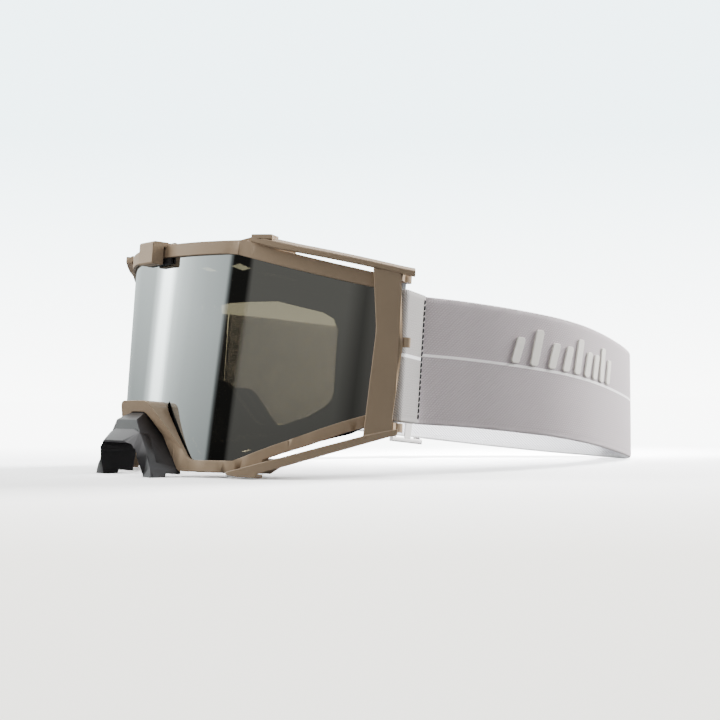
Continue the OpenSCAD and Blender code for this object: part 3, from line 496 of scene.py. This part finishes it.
def swell(obj, rise):
    """Runs the cloth simulation, and caps how far each point moves."""
    scene = bpy.context.scene
    front = (STAND.to_3x3() @ Vector((0, -1, 0))).normalized()
    glued = obj.vertex_groups.new(name="glued")
    held = [v.index for v in obj.data.vertices if v.normal.dot(front) > GLUED_SIDE]
    glued.add(held, 1.0, "REPLACE")
    start = [v.co.copy() for v in obj.data.vertices]
    cloth = obj.modifiers.new("cloth", "CLOTH")
    settings = cloth.settings
    settings.use_pressure = True
    settings.uniform_pressure_force = FOAM_PRESSURE
    settings.vertex_group_mass = "glued"
    settings.effector_weights.gravity = 0
    cloth.point_cache.frame_start = 1
    cloth.point_cache.frame_end = SIM_FRAMES
    for number in range(1, SIM_FRAMES + 1):
        scene.frame_set(number)
    bake(obj)
    scene.frame_set(1)
    for vert, was in zip(obj.data.vertices, start):
        moved = vert.co - was
        if moved.length > rise:
            vert.co = was + moved * rise / moved.length


TUFT_HEIGHT = 0.14 * MM
TUFT_SIZE = 2.3 * MM


def tuft(obj):
    """Lifts the points of a brushed surface by small uneven amounts."""
    bm = bmesh.new()
    bm.from_mesh(obj.data)
    bmesh.ops.triangulate(bm, faces=[f for f in bm.faces if len(f.verts) > 4])
    bmesh.ops.subdivide_edges(bm, edges=bm.edges, cuts=1, use_grid_fill=True)
    bm.normal_update()
    for vert in bm.verts:
        vert.co += TUFT_HEIGHT * noise.noise(vert.co / TUFT_SIZE) * vert.normal
    for face in bm.faces:
        face.smooth = True
    bm.to_mesh(obj.data)
    bm.free()


# The strap's route

# Knots from the left seam to the middle of the back, in millimetres: distance from the
# middle, distance behind the lens, height of the lower edge, and lean in degrees
ROUTE_KNOTS = [
    (79.2, 73.9, 20.15, 4.75),
    (77.7, 78.5, 19.8, 4.75),
    (76.9, 97, 18.6, 4.6),
    (75.5, 122, 16.4, 4.2),
    (71.8, 148.8, 13.6, 3.4),
    (65.5, 170, 10.9, 2.6),
    (56.3, 188.6, 8.3, 2),
    (44, 208, 5.6, 1.4),
    (28.5, 229, 2.8, 0.8),
    (14.5, 244.5, 1, 0.3),
    (6.4, 250.6, 0.2, 0),
]
ROUTE = [Vector(k) for k in ROUTE_KNOTS] + [Vector((0, 252.2, 0, 0))]
ROUTE += [Vector((-k[0], k[1], k[2], k[3])) for k in reversed(ROUTE_KNOTS)]
ROUTE_END = len(ROUTE) - 1


def route(u):
    """A point of the strap's route on a smooth curve through its knots."""
    i = min(ROUTE_END - 1, int(u))
    t = u - i
    a, b, c, d = (ROUTE[max(0, min(ROUTE_END, i + k))] for k in (-1, 0, 1, 2))
    return b + 0.5 * t * (c - a + t * (2 * a - 5 * b + 4 * c - d + t * (3 * (b - c) + d - a)))


def heading(u, step=0.02):
    """The direction of the strap's route, seen from above."""
    a, b = route(max(0, u - step)), route(min(ROUTE_END, u + step))
    return Vector((b.x - a.x, b.y - a.y)).normalized()


def strap_point(u, out, up):
    """A point on the strap: out from its middle line, and up from its lower edge."""
    p, t = route(u), heading(u)
    lean = math.radians(p.w * (-1 if u > ROUTE_END / 2 else 1))
    x = p.x + t.y * out + t.x * up * math.sin(lean)
    y = p.y - t.x * out + t.y * up * math.sin(lean)
    return Vector((x, y, p.z + up * math.cos(lean)))


def webbing_section(thick, width, shift=0.0, round_steps=6, face_steps=18):
    """The webbing's cross-section, round at both selvedges: (out, up) points, anticlockwise."""
    r = thick / 2
    angles = [math.pi * k / round_steps for k in range(round_steps + 1)]
    climb = [(width - 2 * r) * k / face_steps for k in range(1, face_steps)]
    points = [(-r * math.cos(a), r - r * math.sin(a)) for a in angles]
    points += [(r, r + up) for up in climb]
    points += [(r * math.cos(a), width - r + r * math.sin(a)) for a in angles]
    points += [(-r, width - r - up) for up in climb]
    return [(x + shift, y) for x, y in points]


def sweep(section, place, stations, lengths):
    """Rolls a grid into a closed section that runs from station to station, and closes its ends.
    place gives the point for a station and a section point, and lengths the distance along, for
    the weave's UV map. The faces on the section's inner side get the second material."""
    bm = bmesh.new()
    uv = bm.loops.layers.uv.new("weave")
    count, runs = len(section), len(stations) - 1
    bmesh.ops.create_grid(bm, x_segments=runs, y_segments=count, size=0.5)
    spot = {v: (round((v.co.x + 0.5) * runs), round((v.co.y + 0.5) * count)) for v in bm.verts}
    middle = (min(p[0] for p in section) + max(p[0] for p in section)) / 2
    for vert, (i, j) in spot.items():
        vert.co = place(stations[i], *section[j % count])
    for face in bm.faces:
        face.smooth = True
        outs = [section[spot[v][1] % count][0] for v in face.verts]
        face.material_index = int(sum(outs) / 4 < middle)
    bmesh.ops.remove_doubles(bm, verts=bm.verts, dist=0.1 * MM)
    bmesh.ops.holes_fill(bm, edges=[e for e in bm.edges if e.is_boundary], sides=0)
    for face in bm.faces:
        for loop in face.loops:
            i, j = spot[loop.vert]
            loop[uv].uv = (lengths[i] * MM, section[j % count][1] * MM)
    bmesh.ops.recalc_face_normals(bm, faces=bm.faces)
    return bm


def distances(points):
    """How far along a line each of its points lies."""
    total, found = 0.0, [0.0]
    for a, b in zip(points, points[1:]):
        total += (b - a).length
        found.append(total)
    return found


STRAP_STEPS = 330
# Where on the route the adjuster sits, and where the doubled tail starts and ends
ADJUST_U = 17
TAIL_U = (14.2, 16.2)
TAIL_STEPS = 40
TAIL_GAP = 0.3


def bend_with(piece):
    """Bakes the piece's place into its mesh."""
    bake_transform(piece)


# The loops' path, seen from above: from the seam round the bar and back, in the upright frame.
# The bar stands behind a point near the rear end of the outrigger's plate.
PLATE_END = math.radians(61.6)
PLATE_R = FRONT_R + 1.8
PLATE = Vector((PLATE_R * math.sin(PLATE_END), CURVE_Y - PLATE_R * math.cos(PLATE_END)))
BAR = PLATE + Vector((-7.4, 5.05))
SEAM = BAR + Vector((-8.8, 15.7))
ALONG = (SEAM - BAR).normalized()
ACROSS = Vector((ALONG.y, -ALONG.x))
# The loop's middle line runs this far from the bar's middle and, at the seam, from the other
# ply's. Its webbing is a little thinner than the strap's.
LOOP_R = 2.7
PLY = 0.87
LOOP_THINNER = 0.08
LOOP_LOW = -15.5
LOOP_STEPS = 24
TAPER = math.asin((LOOP_R - PLY) / (SEAM - BAR).length)


def loop_path():
    """Points of the webbing's middle, each with the direction out of the loop."""
    outer = ACROSS * math.cos(TAPER) + ALONG * math.sin(TAPER)
    inner = -ACROSS * math.cos(TAPER) + ALONG * math.sin(TAPER)
    path = []
    for k in range(LOOP_STEPS):
        t = k / LOOP_STEPS
        path.append(((SEAM + PLY * outer) * (1 - t) + (BAR + LOOP_R * outer) * t, outer))
    for k in range(LOOP_STEPS + 1):
        a = TAPER - (math.pi + 2 * TAPER) * k / LOOP_STEPS
        out = ACROSS * math.cos(a) + ALONG * math.sin(a)
        path.append((BAR + LOOP_R * out, out))
    for k in range(1, LOOP_STEPS + 1):
        t = k / LOOP_STEPS
        path.append(((BAR + LOOP_R * inner) * (1 - t) + (SEAM + PLY * inner) * t, inner))
    return path


LOOP_PATH = loop_path()


def loop_point(sign, k, out, up):
    """A point on a loop: out from its middle line, and up from its lower edge."""
    point, away = LOOP_PATH[k]
    p = point + out * away
    return Vector((sign * p.x, p.y, LOOP_LOW + up))


# The seam, in millimetres: the gap between stitches, the thread, how far the seam lies from the
# loop's end and keeps from the selvedges in all, how high its thread lies over the ply's middle,
# how much a stitch crowns and slants, and how unevenly it lies
STITCH_GAP = 0.12
THREAD_R = 0.34
SEAM_INSET = 1.3
SEAM_MARGIN = 2.5
THREAD_LIFT = 0.98
CROWN = 0.18
SLANT = 0.18
UNEVEN = 0.02


def seam(stitch, width, sign):
    """Stitches through the loop's end: a row on each face, each stitch a rounded bead of thread
    that sinks into the webbing at its ends."""
    bm = bmesh.new()
    pitch = stitch + STITCH_GAP
    count = int((width - SEAM_MARGIN) / pitch)
    low = LOOP_LOW + (width - (count * pitch - STITCH_GAP)) / 2
    base = SEAM - SEAM_INSET * ALONG
    for side in (1, -1):
        away = side * ACROSS * math.cos(TAPER) + ALONG * math.sin(TAPER)
        skin = base + (PLY + THREAD_LIFT) * away
        for i in range(count):
            bead = bmesh.ops.create_uvsphere(bm, u_segments=8, v_segments=8, radius=1)["verts"]
            lift = UNEVEN * noise.noise(Vector((i, side, 0)))
            for vert in bead:
                # The sphere is drawn out to a rod with round ends
                t = 2 * math.asin(max(-1, min(1, vert.co.z))) / math.pi
                full = math.sqrt(max(0.0, 1 - t**8))
                around = Vector((vert.co.x, vert.co.y))
                if around.length > 1e-6:
                    around = around.normalized() * THREAD_R * full
                crown = CROWN * (1 - t * t) + lift
                p = skin + away * (crown + around.x) + ALONG * (around.y + SLANT * t)
                vert.co = (sign * p.x, p.y, low + i * pitch + stitch * (t + 1) / 2)
    for face in bm.faces:
        face.smooth = True
    bmesh.ops.recalc_face_normals(bm, faces=bm.faces)
    return bm


# Operators


class GOGGLES_OT_front_frame(bpy.types.Operator):
    """Moulded front frame and its lens latch"""

    bl_idname = "goggles.front_frame"
    bl_label = "Front frame"

    def execute(self, context):
        sizes, colours = context.scene.goggles_sizes, context.scene.goggles_colours
        tan = moulded_plastic("tan_tpu", colours.frame, 0.5, 0.35 * MM, 0.25)
        dressed("front_frame", tan, sizes.edge_round, weld=MOULD_WELD)
        dressed("lens_latch", tan, sizes.edge_round, weld=MOULD_WELD)
        pin = steel("ground_steel")
        dressed("latch_pin", pin, PIN_ROUND)
        dressed("pivot_pins", pin, PIN_ROUND)
        return {"FINISHED"}


# A face of the lens is its outside if it looks this squarely away from the curve's middle line
OUTSIDE = 0.7


class GOGGLES_OT_lens(bpy.types.Operator):
    """Curved mirrored lens, with its gasket and the latch's pad"""

    bl_idname = "goggles.lens"
    bl_label = "Lens"

    def execute(self, context):
        soft = rubber("black_silicone", linear("#141414"), 0.55)
        dressed("lens_gasket", soft)
        dressed("latch_pad", soft, PIN_ROUND)
        lens = dressed("lens", mirrored_lens("mirrored_polycarbonate"))
        lens.data.materials.append(tinted_lens("tinted_polycarbonate"))
        # Only the outside carries the mirror coat
        upright = STAND.inverted()
        for face in lens.data.polygons:
            p = upright @ face.center
            away = Vector((p.x, p.y - CURVE_Y, 0)).normalized()
            outside = (upright.to_3x3() @ face.normal).normalized().dot(away) > OUTSIDE
            face.material_index = 0 if outside else 1
        return {"FINISHED"}


class GOGGLES_OT_outriggers(bpy.types.Operator):
    """Outriggers with their strap bars"""

    bl_idname = "goggles.outriggers"
    bl_label = "Outriggers"

    def execute(self, context):
        sizes = context.scene.goggles_sizes
        tan = bpy.data.materials["tan_tpu"]
        pin = bpy.data.materials["ground_steel"]
        for side in ("left", "right"):
            dressed("outrigger_" + side, tan, sizes.edge_round, weld=MOULD_WELD)
            dressed("strap_bar_" + side, pin, PIN_ROUND)
        return {"FINISHED"}


# How far the vent foam swells towards the lens and up into the vents, in millimetres, and how
# squarely a face has to look that way to move
VENT_FOAM_SWELLS = (Vector((0, -2.0, 0)), Vector((0, 0, 1.2)))
SWELL_SIDE = 0.3


class GOGGLES_OT_inner_frame(bpy.types.Operator):
    """Inner frame with the filter foam behind its vents"""

    bl_idname = "goggles.inner_frame"
    bl_label = "Inner frame"

    def execute(self, context):
        colours = context.scene.goggles_colours
        dark = moulded_plastic("black_tpu", colours.inner, 0.45, 0.3 * MM, 0.3)
        dressed("inner_frame", dark, INNER_ROUND, weld=MOULD_WELD)
        filter_foam = foam_cells("filter_foam", linear("#262527"), 1.1 * MM, 1.0, 0.1)
        for node in ("top_vent_foam", "bottom_vent_foam"):
            strip = dressed(node, filter_foam, FOAM_ROUND)
            points = strip.data.vertices
            for swell_to in VENT_FOAM_SWELLS:
                move = STAND.to_3x3() @ swell_to
                way = move.normalized()
                for index in [v.index for v in points if v.normal.dot(way) > SWELL_SIDE]:
                    points[index].co += move
        return {"FINISHED"}


class GOGGLES_OT_face_foam(bpy.types.Operator):
    """Three layers of face foam"""

    bl_idname = "goggles.face_foam"
    bl_label = "Face foam"

    def execute(self, context):
        colours = context.scene.goggles_colours
        firm = foam_cells("firm_foam", tone(colours.foam, 1.2)[:3], 0.7 * MM, 0.6, 0.05)
        soft = foam_cells("soft_foam", colours.foam, 1.0 * MM, 0.8, 0.08)
        puffed("base_foam", firm, 0.5 * MM)
        puffed("face_foam", soft, 1.0 * MM)
        fleece = dressed("fleece_liner", fleece_pile("fleece", linear("#29282b")))
        tuft(fleece)
        return {"FINISHED"}


class GOGGLES_OT_nose_guard(bpy.types.Operator):
    """Clip-in nose guard"""

    bl_idname = "goggles.nose_guard"
    bl_label = "Nose guard"

    def execute(self, context):
        colours = context.scene.goggles_colours
        # The last number, 2.6, paints the guard's edges much paler: a strong painted highlight along its ridges.
        grey = moulded_plastic("charcoal_nylon", colours.guard, 0.38, 0.3 * MM, 0.25, 2.6)
        dressed("nose_guard", grey, GUARD_ROUND, weld=GUARD_WELD)
        return {"FINISHED"}


class GOGGLES_OT_strap(bpy.types.Operator):
    """Elastic strap with its loops, seams, adjuster, bars and grip lines"""

    bl_idname = "goggles.strap"
    bl_label = "Strap"

    def execute(self, context):
        sizes, colours = context.scene.goggles_sizes, context.scene.goggles_colours
        width = sizes.strap_width
        twill = twill_webbing(
            "strap_twill", colours.strap, sizes.twill_pitch, width,
            LINE_AT * width, LINE_WIDTH, linear(TWILL_WHITE),
        )
        # The inner face is near white: partly the webbing's own paler inside, and partly painted light that stands
        # in for light shining through the far run from behind.
        pale_inside = twill_webbing("strap_pale_inside", linear("#efeff3"), sizes.twill_pitch, width)
        self.band(sizes, twill, pale_inside)
        self.tail(sizes, twill, pale_inside)
        self.fittings(colours)
        self.loops(sizes, colours)
        return {"FINISHED"}

    def band(self, sizes, twill, pale_inside):
        """The band, as two pieces that meet under the adjuster."""
        stations = [ROUTE_END * i / STRAP_STEPS for i in range(STRAP_STEPS + 1)]
        lengths = distances([strap_point(u, 0, 0) for u in stations])
        join = round(STRAP_STEPS * ADJUST_U / ROUTE_END)
        section = webbing_section(sizes.strap_thickness / MM, sizes.strap_width / MM)
        for side, run in (("left", slice(0, join + 1)), ("right", slice(join, STRAP_STEPS + 1))):
            bm = sweep(section, strap_point, stations[run], lengths[run])
            name = "strap_band_" + side
            piece = new_object(name, bm, ON_TABLE, None, twill, "strap")
            piece.data.materials.append(pale_inside)
            bend_with(piece)

    def tail(self, sizes, twill, pale_inside):
        """The strap's end, which comes back through the adjuster and lies on the band."""
        thick, (start, end) = sizes.strap_thickness / MM, TAIL_U
        stations = [start + (end - start) * i / TAIL_STEPS for i in range(TAIL_STEPS + 1)]
        lengths = distances([strap_point(u, 0, 0) for u in stations])
        section = webbing_section(thick, sizes.strap_width / MM, thick + TAIL_GAP)
        bm = sweep(section, strap_point, stations, lengths)
        name = "strap_doubled_tail"
        piece = new_object(name, bm, ON_TABLE, "frame", twill, "strap_tail")
        piece.data.materials.append(pale_inside)

    def fittings(self, colours):
        """The adjuster, the raised bars and the grip lines on the strap's inside."""
        buckle = moulded_plastic("grey_acetal", linear("#c4c1bf"), 0.35, 0.3 * MM, 0.15, 1.05)
        dressed("strap_adjuster", buckle, ADJUSTER_ROUND)
        bars = rubber("off_white_rubber", colours.motif, 0.5)
        dressed("strap_motif", bars, MOTIF_ROUND, 3)
        silicone = rubber("clear_silicone", linear("#cfcdc8"), 0.35)
        bend_with(dressed("grip_lines", silicone, ride=False))

    def loops(self, sizes, colours):
        """The webbing loops round the bars, and the seams that close them."""
        width, black = sizes.strap_width, thread("black_thread")
        twill = twill_webbing(
            "loop_twill", colours.loop, 1.2 * MM, width, 0.5 * width, 1.3 * MM, linear("#ffffff")
        )
        stations = list(range(len(LOOP_PATH)))
        lengths = distances([point for point, _ in LOOP_PATH])
        section = webbing_section(sizes.strap_thickness / MM - LOOP_THINNER, width / MM)
        for side, sign in (("left", 1), ("right", -1)):
            node, body = "strap_loop_" + side, BODY_OF["strap_loop_" + side]
            bm = sweep(section, partial(loop_point, sign), stations, lengths)
            loop = new_object("loop_" + side, bm, STAND, body, twill, node)
            loop.data.materials.append(twill)
            bm = seam(sizes.stitch_length / MM, width / MM, sign)
            node = "loop_stitching_" + side
            new_object("seam_" + side, bm, STAND, body, black, node)


# The camera, as fitted to the photograph: its angles, its place in metres from the strap's
# origin, and its focal length and the picture's width in pixels
CAMERA_AZIMUTH = math.radians(56.95)
CAMERA_ELEVATION = math.radians(-1.3)
CAMERA_ROLL = math.radians(-0.33)
CAMERA_PLACE = Vector((0.58536, -0.28052, 0.03102))
FOCAL_PX = 1594.5
PICTURE_PX = 720
SENSOR = 36
AWAY = (-math.sin(CAMERA_AZIMUTH), math.cos(CAMERA_AZIMUTH), 0)

# What the lens mirrors, by the direction round the room in degrees, with its brightness: a
# bright strip window at the left, a pale wall, a dark doorway, and the dim side of the room
ROOM = (
    (-180, 0.7), (-120, 1.4), (-101, 2.3), (-88, 1.8), (-69, 1.8), (-64, 3.6), (-60, 9.0),
    (-55, 9.0), (-50, 3.0), (-45, 2.2), (-37, 1.6), (-28, 1.3), (-18.2, 1.1), (-16.4, 0.02),
    (-7, 0.02), (-4.5, 0.2), (44, 0.2), (52, 0.1), (64, 0.25), (85, 0.6), (120, 0.7), (180, 0.7),
)
ROOM_PEAK = 9.0
# Walls brighter than this are cool, and the others warm
COOL_ABOVE = 0.3
COOL, WARM = Vector((0.94, 1, 0.98)), Vector((1.05, 1, 0.9))
CEILING = (0.38, 0.38, 0.38, 1)
# How the room's pattern slants with height, and how far it is turned
ROOM_SLANT, ROOM_SHIFT = 0.935, -0.14
# Heights, as the sine of the angle above the horizon, over which the walls brighten, the
# ceiling begins and the backdrop turns to its upper colour
WALLS_FROM, WALLS_TO = 0.03, 0.17
CEILING_FROM, CEILING_TO = 0.3, 0.6
SKY_TO = 0.16

# The backdrop at the horizon and above, and how bright it is
HORIZON = (0.98, 1.0, 0.99, 1)
SKY = (0.5, 0.62, 0.66, 1)
BACKDROP_LIGHT = 8.8
FLOOR_GLOW = 8.6
SOFT_LIGHT = 0.46
# The table's colour as the camera sees it, near and behind, painted light above white that pales towards the rear;
# its colour in the cloud's patches; and what it gives back to the goggles
TABLE_NEAR = (1.3, 1.27, 1.17, 1)
TABLE_REAR = (2.05, 2.06, 2.08, 1)
TABLE_CLOUD = (1.6, 1.6, 1.58, 1)
TABLE_BOUNCE = (0.22, 0.22, 0.22, 1)
TABLE_SIZE = 12
# Distances in metres over which the table's painted light pales it away from the camera, and over which it turns
# into the backdrop: behind the goggles, and all round them
PALER_FROM, PALER_TO = -0.4, 0.02
BEHIND_FROM, BEHIND_TO = 0.09, 0.3
AROUND_FROM, AROUND_TO = 0.7, 2.0

# Square soft lights: name, place, what they point at, size in metres and power in watts
SOFTBOXES = (
    ("key_softbox", (-1.0, -1.3, 0.75), (0, -0.1, 0.05), 0.9, 40),
    ("back_softbox", (0.2, 1.7, 0.75), (0, 0, 0.05), 1.1, 145),
    ("top_softbox", (-0.2, 0.0, 2.4), (0, 0, 0), 2.0, 40),
)
# Narrow lights on the inside of the strap's far run: name, place and what they point at
SPOTS = (
    ("inside_spot_front", (0.5, -0.06, 1.0), (-0.075, 0.06, 0.04)),
    ("inside_spot_rear", (0.5, 0.05, 1.0), (-0.075, 0.17, 0.04)),
)
SPOT_POWER = 260
SPOT_ANGLE = math.radians(12)
SPOT_RADIUS = 0.05


def lamp(kind, name, place, aim, power):
    """A light that points from its place to its aim, and that no gloss mirrors."""
    light = bpy.data.lights.new(name, kind)
    light.energy = power
    obj = bpy.data.objects.new(name, light)
    obj.visible_glossy = False
    obj.location = place
    obj.rotation_euler = (Vector(aim) - Vector(place)).to_track_quat("-Z", "Y").to_euler()
    bpy.context.scene.collection.objects.link(obj)
    return light


class GOGGLES_OT_stage(bpy.types.Operator):
    """Floor, soft studio light and the camera"""

    bl_idname = "goggles.stage"
    bl_label = "Stage"

    def execute(self, context):
        self.floor()
        self.lights()
        self.camera(context.scene)
        self.world(context.scene)
        return {"FINISHED"}

    def floor(self):
        """A white table that the camera sees in painted light: its colour rises above white and pales away from
        the camera, while the goggles get back only a dim bounce. It runs on into the backdrop behind the strap.
        """
        material, tree = blank(bpy.data.materials, "white_table")
        seen = add(tree, "LightPath", output="Is Camera Ray")
        place = add(tree, "TexCoord", output="Object")
        depth = add(tree, "VectorMath", {0: place, 1: AWAY}, "Value", operation="DOT_PRODUCT")
        reach = {"From Min": BEHIND_FROM, "From Max": BEHIND_TO}
        behind = add(tree, "MapRange", {"Value": depth, **reach})
        distance = add(tree, "VectorMath", {0: place}, "Value", operation="LENGTH")
        reach = {"From Min": AROUND_FROM, "From Max": AROUND_TO}
        around = add(tree, "MapRange", {"Value": distance, **reach})
        beyond = add(tree, "Math", {0: behind, 1: around}, operation="MAXIMUM")
        cloud = add(tree, "TexNoise", {"Vector": place, "Scale": 6.0, "Detail": 2.0}, "Fac")
        cloud = add(tree, "Math", {0: cloud, 1: 0.15}, operation="MULTIPLY")
        # For the camera the table's colour rises above white and pales towards the rear: painted light.
        reach = {"From Min": PALER_FROM, "From Max": PALER_TO}
        rear = add(tree, "MapRange", {"Value": depth, **reach})
        mix = {SHARE: rear, FROM: TABLE_NEAR, TO: TABLE_REAR}
        shown = add(tree, "Mix", mix, MIXED, data_type="RGBA")
        mix = {SHARE: cloud, FROM: shown, TO: TABLE_CLOUD}
        shown = add(tree, "Mix", mix, MIXED, data_type="RGBA")
        mix = {SHARE: seen, FROM: TABLE_BOUNCE, TO: shown}
        shown = add(tree, "Mix", mix, MIXED, data_type="RGBA")
        table = add(tree, "BsdfDiffuse", {"Color": shown})
        glow = add(tree, "Emission", {"Color": HORIZON, "Strength": FLOOR_GLOW})
        share = add(tree, "Math", {0: seen, 1: beyond}, operation="MULTIPLY")
        shader = add(tree, "MixShader", {0: share, 1: table, 2: glow})
        add(tree, "OutputMaterial", {"Surface": shader})
        bm = bmesh.new()
        bmesh.ops.create_grid(bm, x_segments=1, y_segments=1, size=TABLE_SIZE)
        mesh = bpy.data.meshes.new("table_top")
        bm.to_mesh(mesh)
        bm.free()
        obj = bpy.data.objects.new("table_top", mesh)
        bpy.context.scene.collection.objects.link(obj)
        mesh.materials.append(material)

    def lights(self):
        """Three soft lights, and two narrow ones on the inside of the strap."""
        for name, place, aim, width, power in SOFTBOXES:
            light = lamp("AREA", name, place, aim, power)
            light.shape = "SQUARE"
            light.size = width
        for name, place, aim in SPOTS:
            light = lamp("SPOT", name, place, aim, SPOT_POWER)
            light.spot_size = SPOT_ANGLE
            light.spot_blend = 1
            light.shadow_soft_size = SPOT_RADIUS

    def camera(self, scene):
        """The camera stands at the wearer's left front, at lens height, as in the photograph."""
        rise, level = math.sin(CAMERA_ELEVATION), math.cos(CAMERA_ELEVATION)
        back = Vector((-AWAY[0] * level, -AWAY[1] * level, rise))
        right = Vector((math.cos(CAMERA_AZIMUTH), math.sin(CAMERA_AZIMUTH), 0))
        up = back.cross(right)
        across = math.cos(CAMERA_ROLL) * right + math.sin(CAMERA_ROLL) * up
        above = -math.sin(CAMERA_ROLL) * right + math.cos(CAMERA_ROLL) * up
        camera = bpy.data.cameras.new("camera")
        camera.sensor_width = SENSOR
        camera.lens = SENSOR * FOCAL_PX / PICTURE_PX
        camera.clip_start = 0.01
        obj = bpy.data.objects.new("camera", camera)
        turn = Matrix((across, above, back)).transposed().to_4x4()
        obj.matrix_world = Matrix.Translation(CAMERA_PLACE + ON_TABLE.translation) @ turn
        scene.collection.objects.link(obj)
        scene.camera = obj

    def world(self, scene):
        """A pale backdrop for the camera, a soft even light on the surfaces, and for gloss and the
        lens a room that is bright on one side."""
        world, tree = blank(bpy.data.worlds, "studio")
        way = add(tree, "TexCoord", output="Generated")
        east, north, up = add(tree, "SeparateXYZ", {"Vector": way}).node.outputs
        south = add(tree, "Math", {0: north, 1: -1.0}, operation="MULTIPLY")
        turn = add(tree, "Math", {0: east, 1: south}, operation="ARCTAN2")
        lean = {0: up, 1: ROOM_SLANT, 2: ROOM_SHIFT}
        slant = add(tree, "Math", lean, operation="MULTIPLY_ADD")
        turn = add(tree, "Math", {0: turn, 1: slant}, operation="SUBTRACT")
        turn = add(tree, "MapRange", {"Value": turn, "From Min": -math.pi, "From Max": math.pi})
        walls = add(tree, "ValToRGB", {"Fac": turn}, "Color")
        self.paint(walls.node.color_ramp.elements)
        rise = {"From Min": WALLS_FROM, "From Max": WALLS_TO, "To Min": 0.45, "To Max": 1.05}
        gain = add(tree, "MapRange", {"Value": up, **rise})
        rise = {"From Min": CEILING_FROM, "From Max": CEILING_TO}
        ceiling = add(tree, "MapRange", {"Value": up, **rise})
        height = add(tree, "MapRange", {"Value": up, "From Min": 0.0, "From Max": SKY_TO})
        black = (0, 0, 0, 1)
        walls = add(tree, "Mix", {SHARE: gain, FROM: black, TO: walls}, MIXED, data_type="RGBA")
        room = add(tree, "Mix", {SHARE: ceiling, FROM: walls, TO: CEILING}, MIXED, data_type="RGBA")
        sky = add(tree, "Mix", {SHARE: height, FROM: HORIZON, TO: SKY}, MIXED, data_type="RGBA")
        paths = add(tree, "LightPath").node.outputs
        pale = (*linear("#f2f5f7"), 1)
        soft = add(tree, "Background", {"Color": pale, "Strength": SOFT_LIGHT})
        gloss = add(tree, "Background", {"Color": room, "Strength": ROOM_PEAK})
        backdrop = add(tree, "Background", {"Color": sky, "Strength": BACKDROP_LIGHT})
        light = add(tree, "MixShader", {0: paths["Is Glossy Ray"], 1: soft, 2: gloss})
        light = add(tree, "MixShader", {0: paths["Is Camera Ray"], 1: light, 2: backdrop})
        add(tree, "OutputWorld", {"Surface": light})
        scene.world = world

    def paint(self, stops):
        """Sets the ramp's stops to the room's walls."""
        while len(stops) > 1:
            stops.remove(stops[-1])
        for i, (degrees, light) in enumerate(ROOM):
            at = (degrees + 180) / 360
            stop = stops[0] if i == 0 else stops.new(at)
            stop.position = at
            tint = COOL if light > COOL_ABOVE else WARM
            stop.color = (*(tint * light / ROOM_PEAK), 1)


class GOGGLES_PT_panel(bpy.types.Panel):
    """Lists the goggles' pieces in the 3D view's sidebar"""

    bl_label = "Goggles"
    bl_idname = "GOGGLES_PT_panel"
    bl_space_type = "VIEW_3D"
    bl_region_type = "UI"
    bl_category = "Goggles"

    def draw(self, context):
        column = self.layout.column()
        for group in (context.scene.goggles_sizes, context.scene.goggles_colours):
            for key in group.__annotations__:
                column.prop(group, key)
        for operator in OPERATORS:
            column.operator(operator.bl_idname)


OPERATORS = (
    GOGGLES_OT_stage,
    GOGGLES_OT_front_frame,
    GOGGLES_OT_lens,
    GOGGLES_OT_outriggers,
    GOGGLES_OT_inner_frame,
    GOGGLES_OT_face_foam,
    GOGGLES_OT_nose_guard,
    GOGGLES_OT_strap,
)
CLASSES = (GogglesSizes, GogglesColours, *OPERATORS, GOGGLES_PT_panel)


def register():
    for each in CLASSES:
        bpy.utils.register_class(each)
    bpy.types.Scene.goggles_sizes = bpy.props.PointerProperty(type=GogglesSizes)
    bpy.types.Scene.goggles_colours = bpy.props.PointerProperty(type=GogglesColours)


def unregister():
    del bpy.types.Scene.goggles_colours
    del bpy.types.Scene.goggles_sizes
    for each in reversed(CLASSES):
        bpy.utils.unregister_class(each)


def main():
    register()
    for operator in OPERATORS:
        group, call = operator.bl_idname.split(".")
        getattr(getattr(bpy.ops, group), call)()


if __name__ == "__main__":
    main()
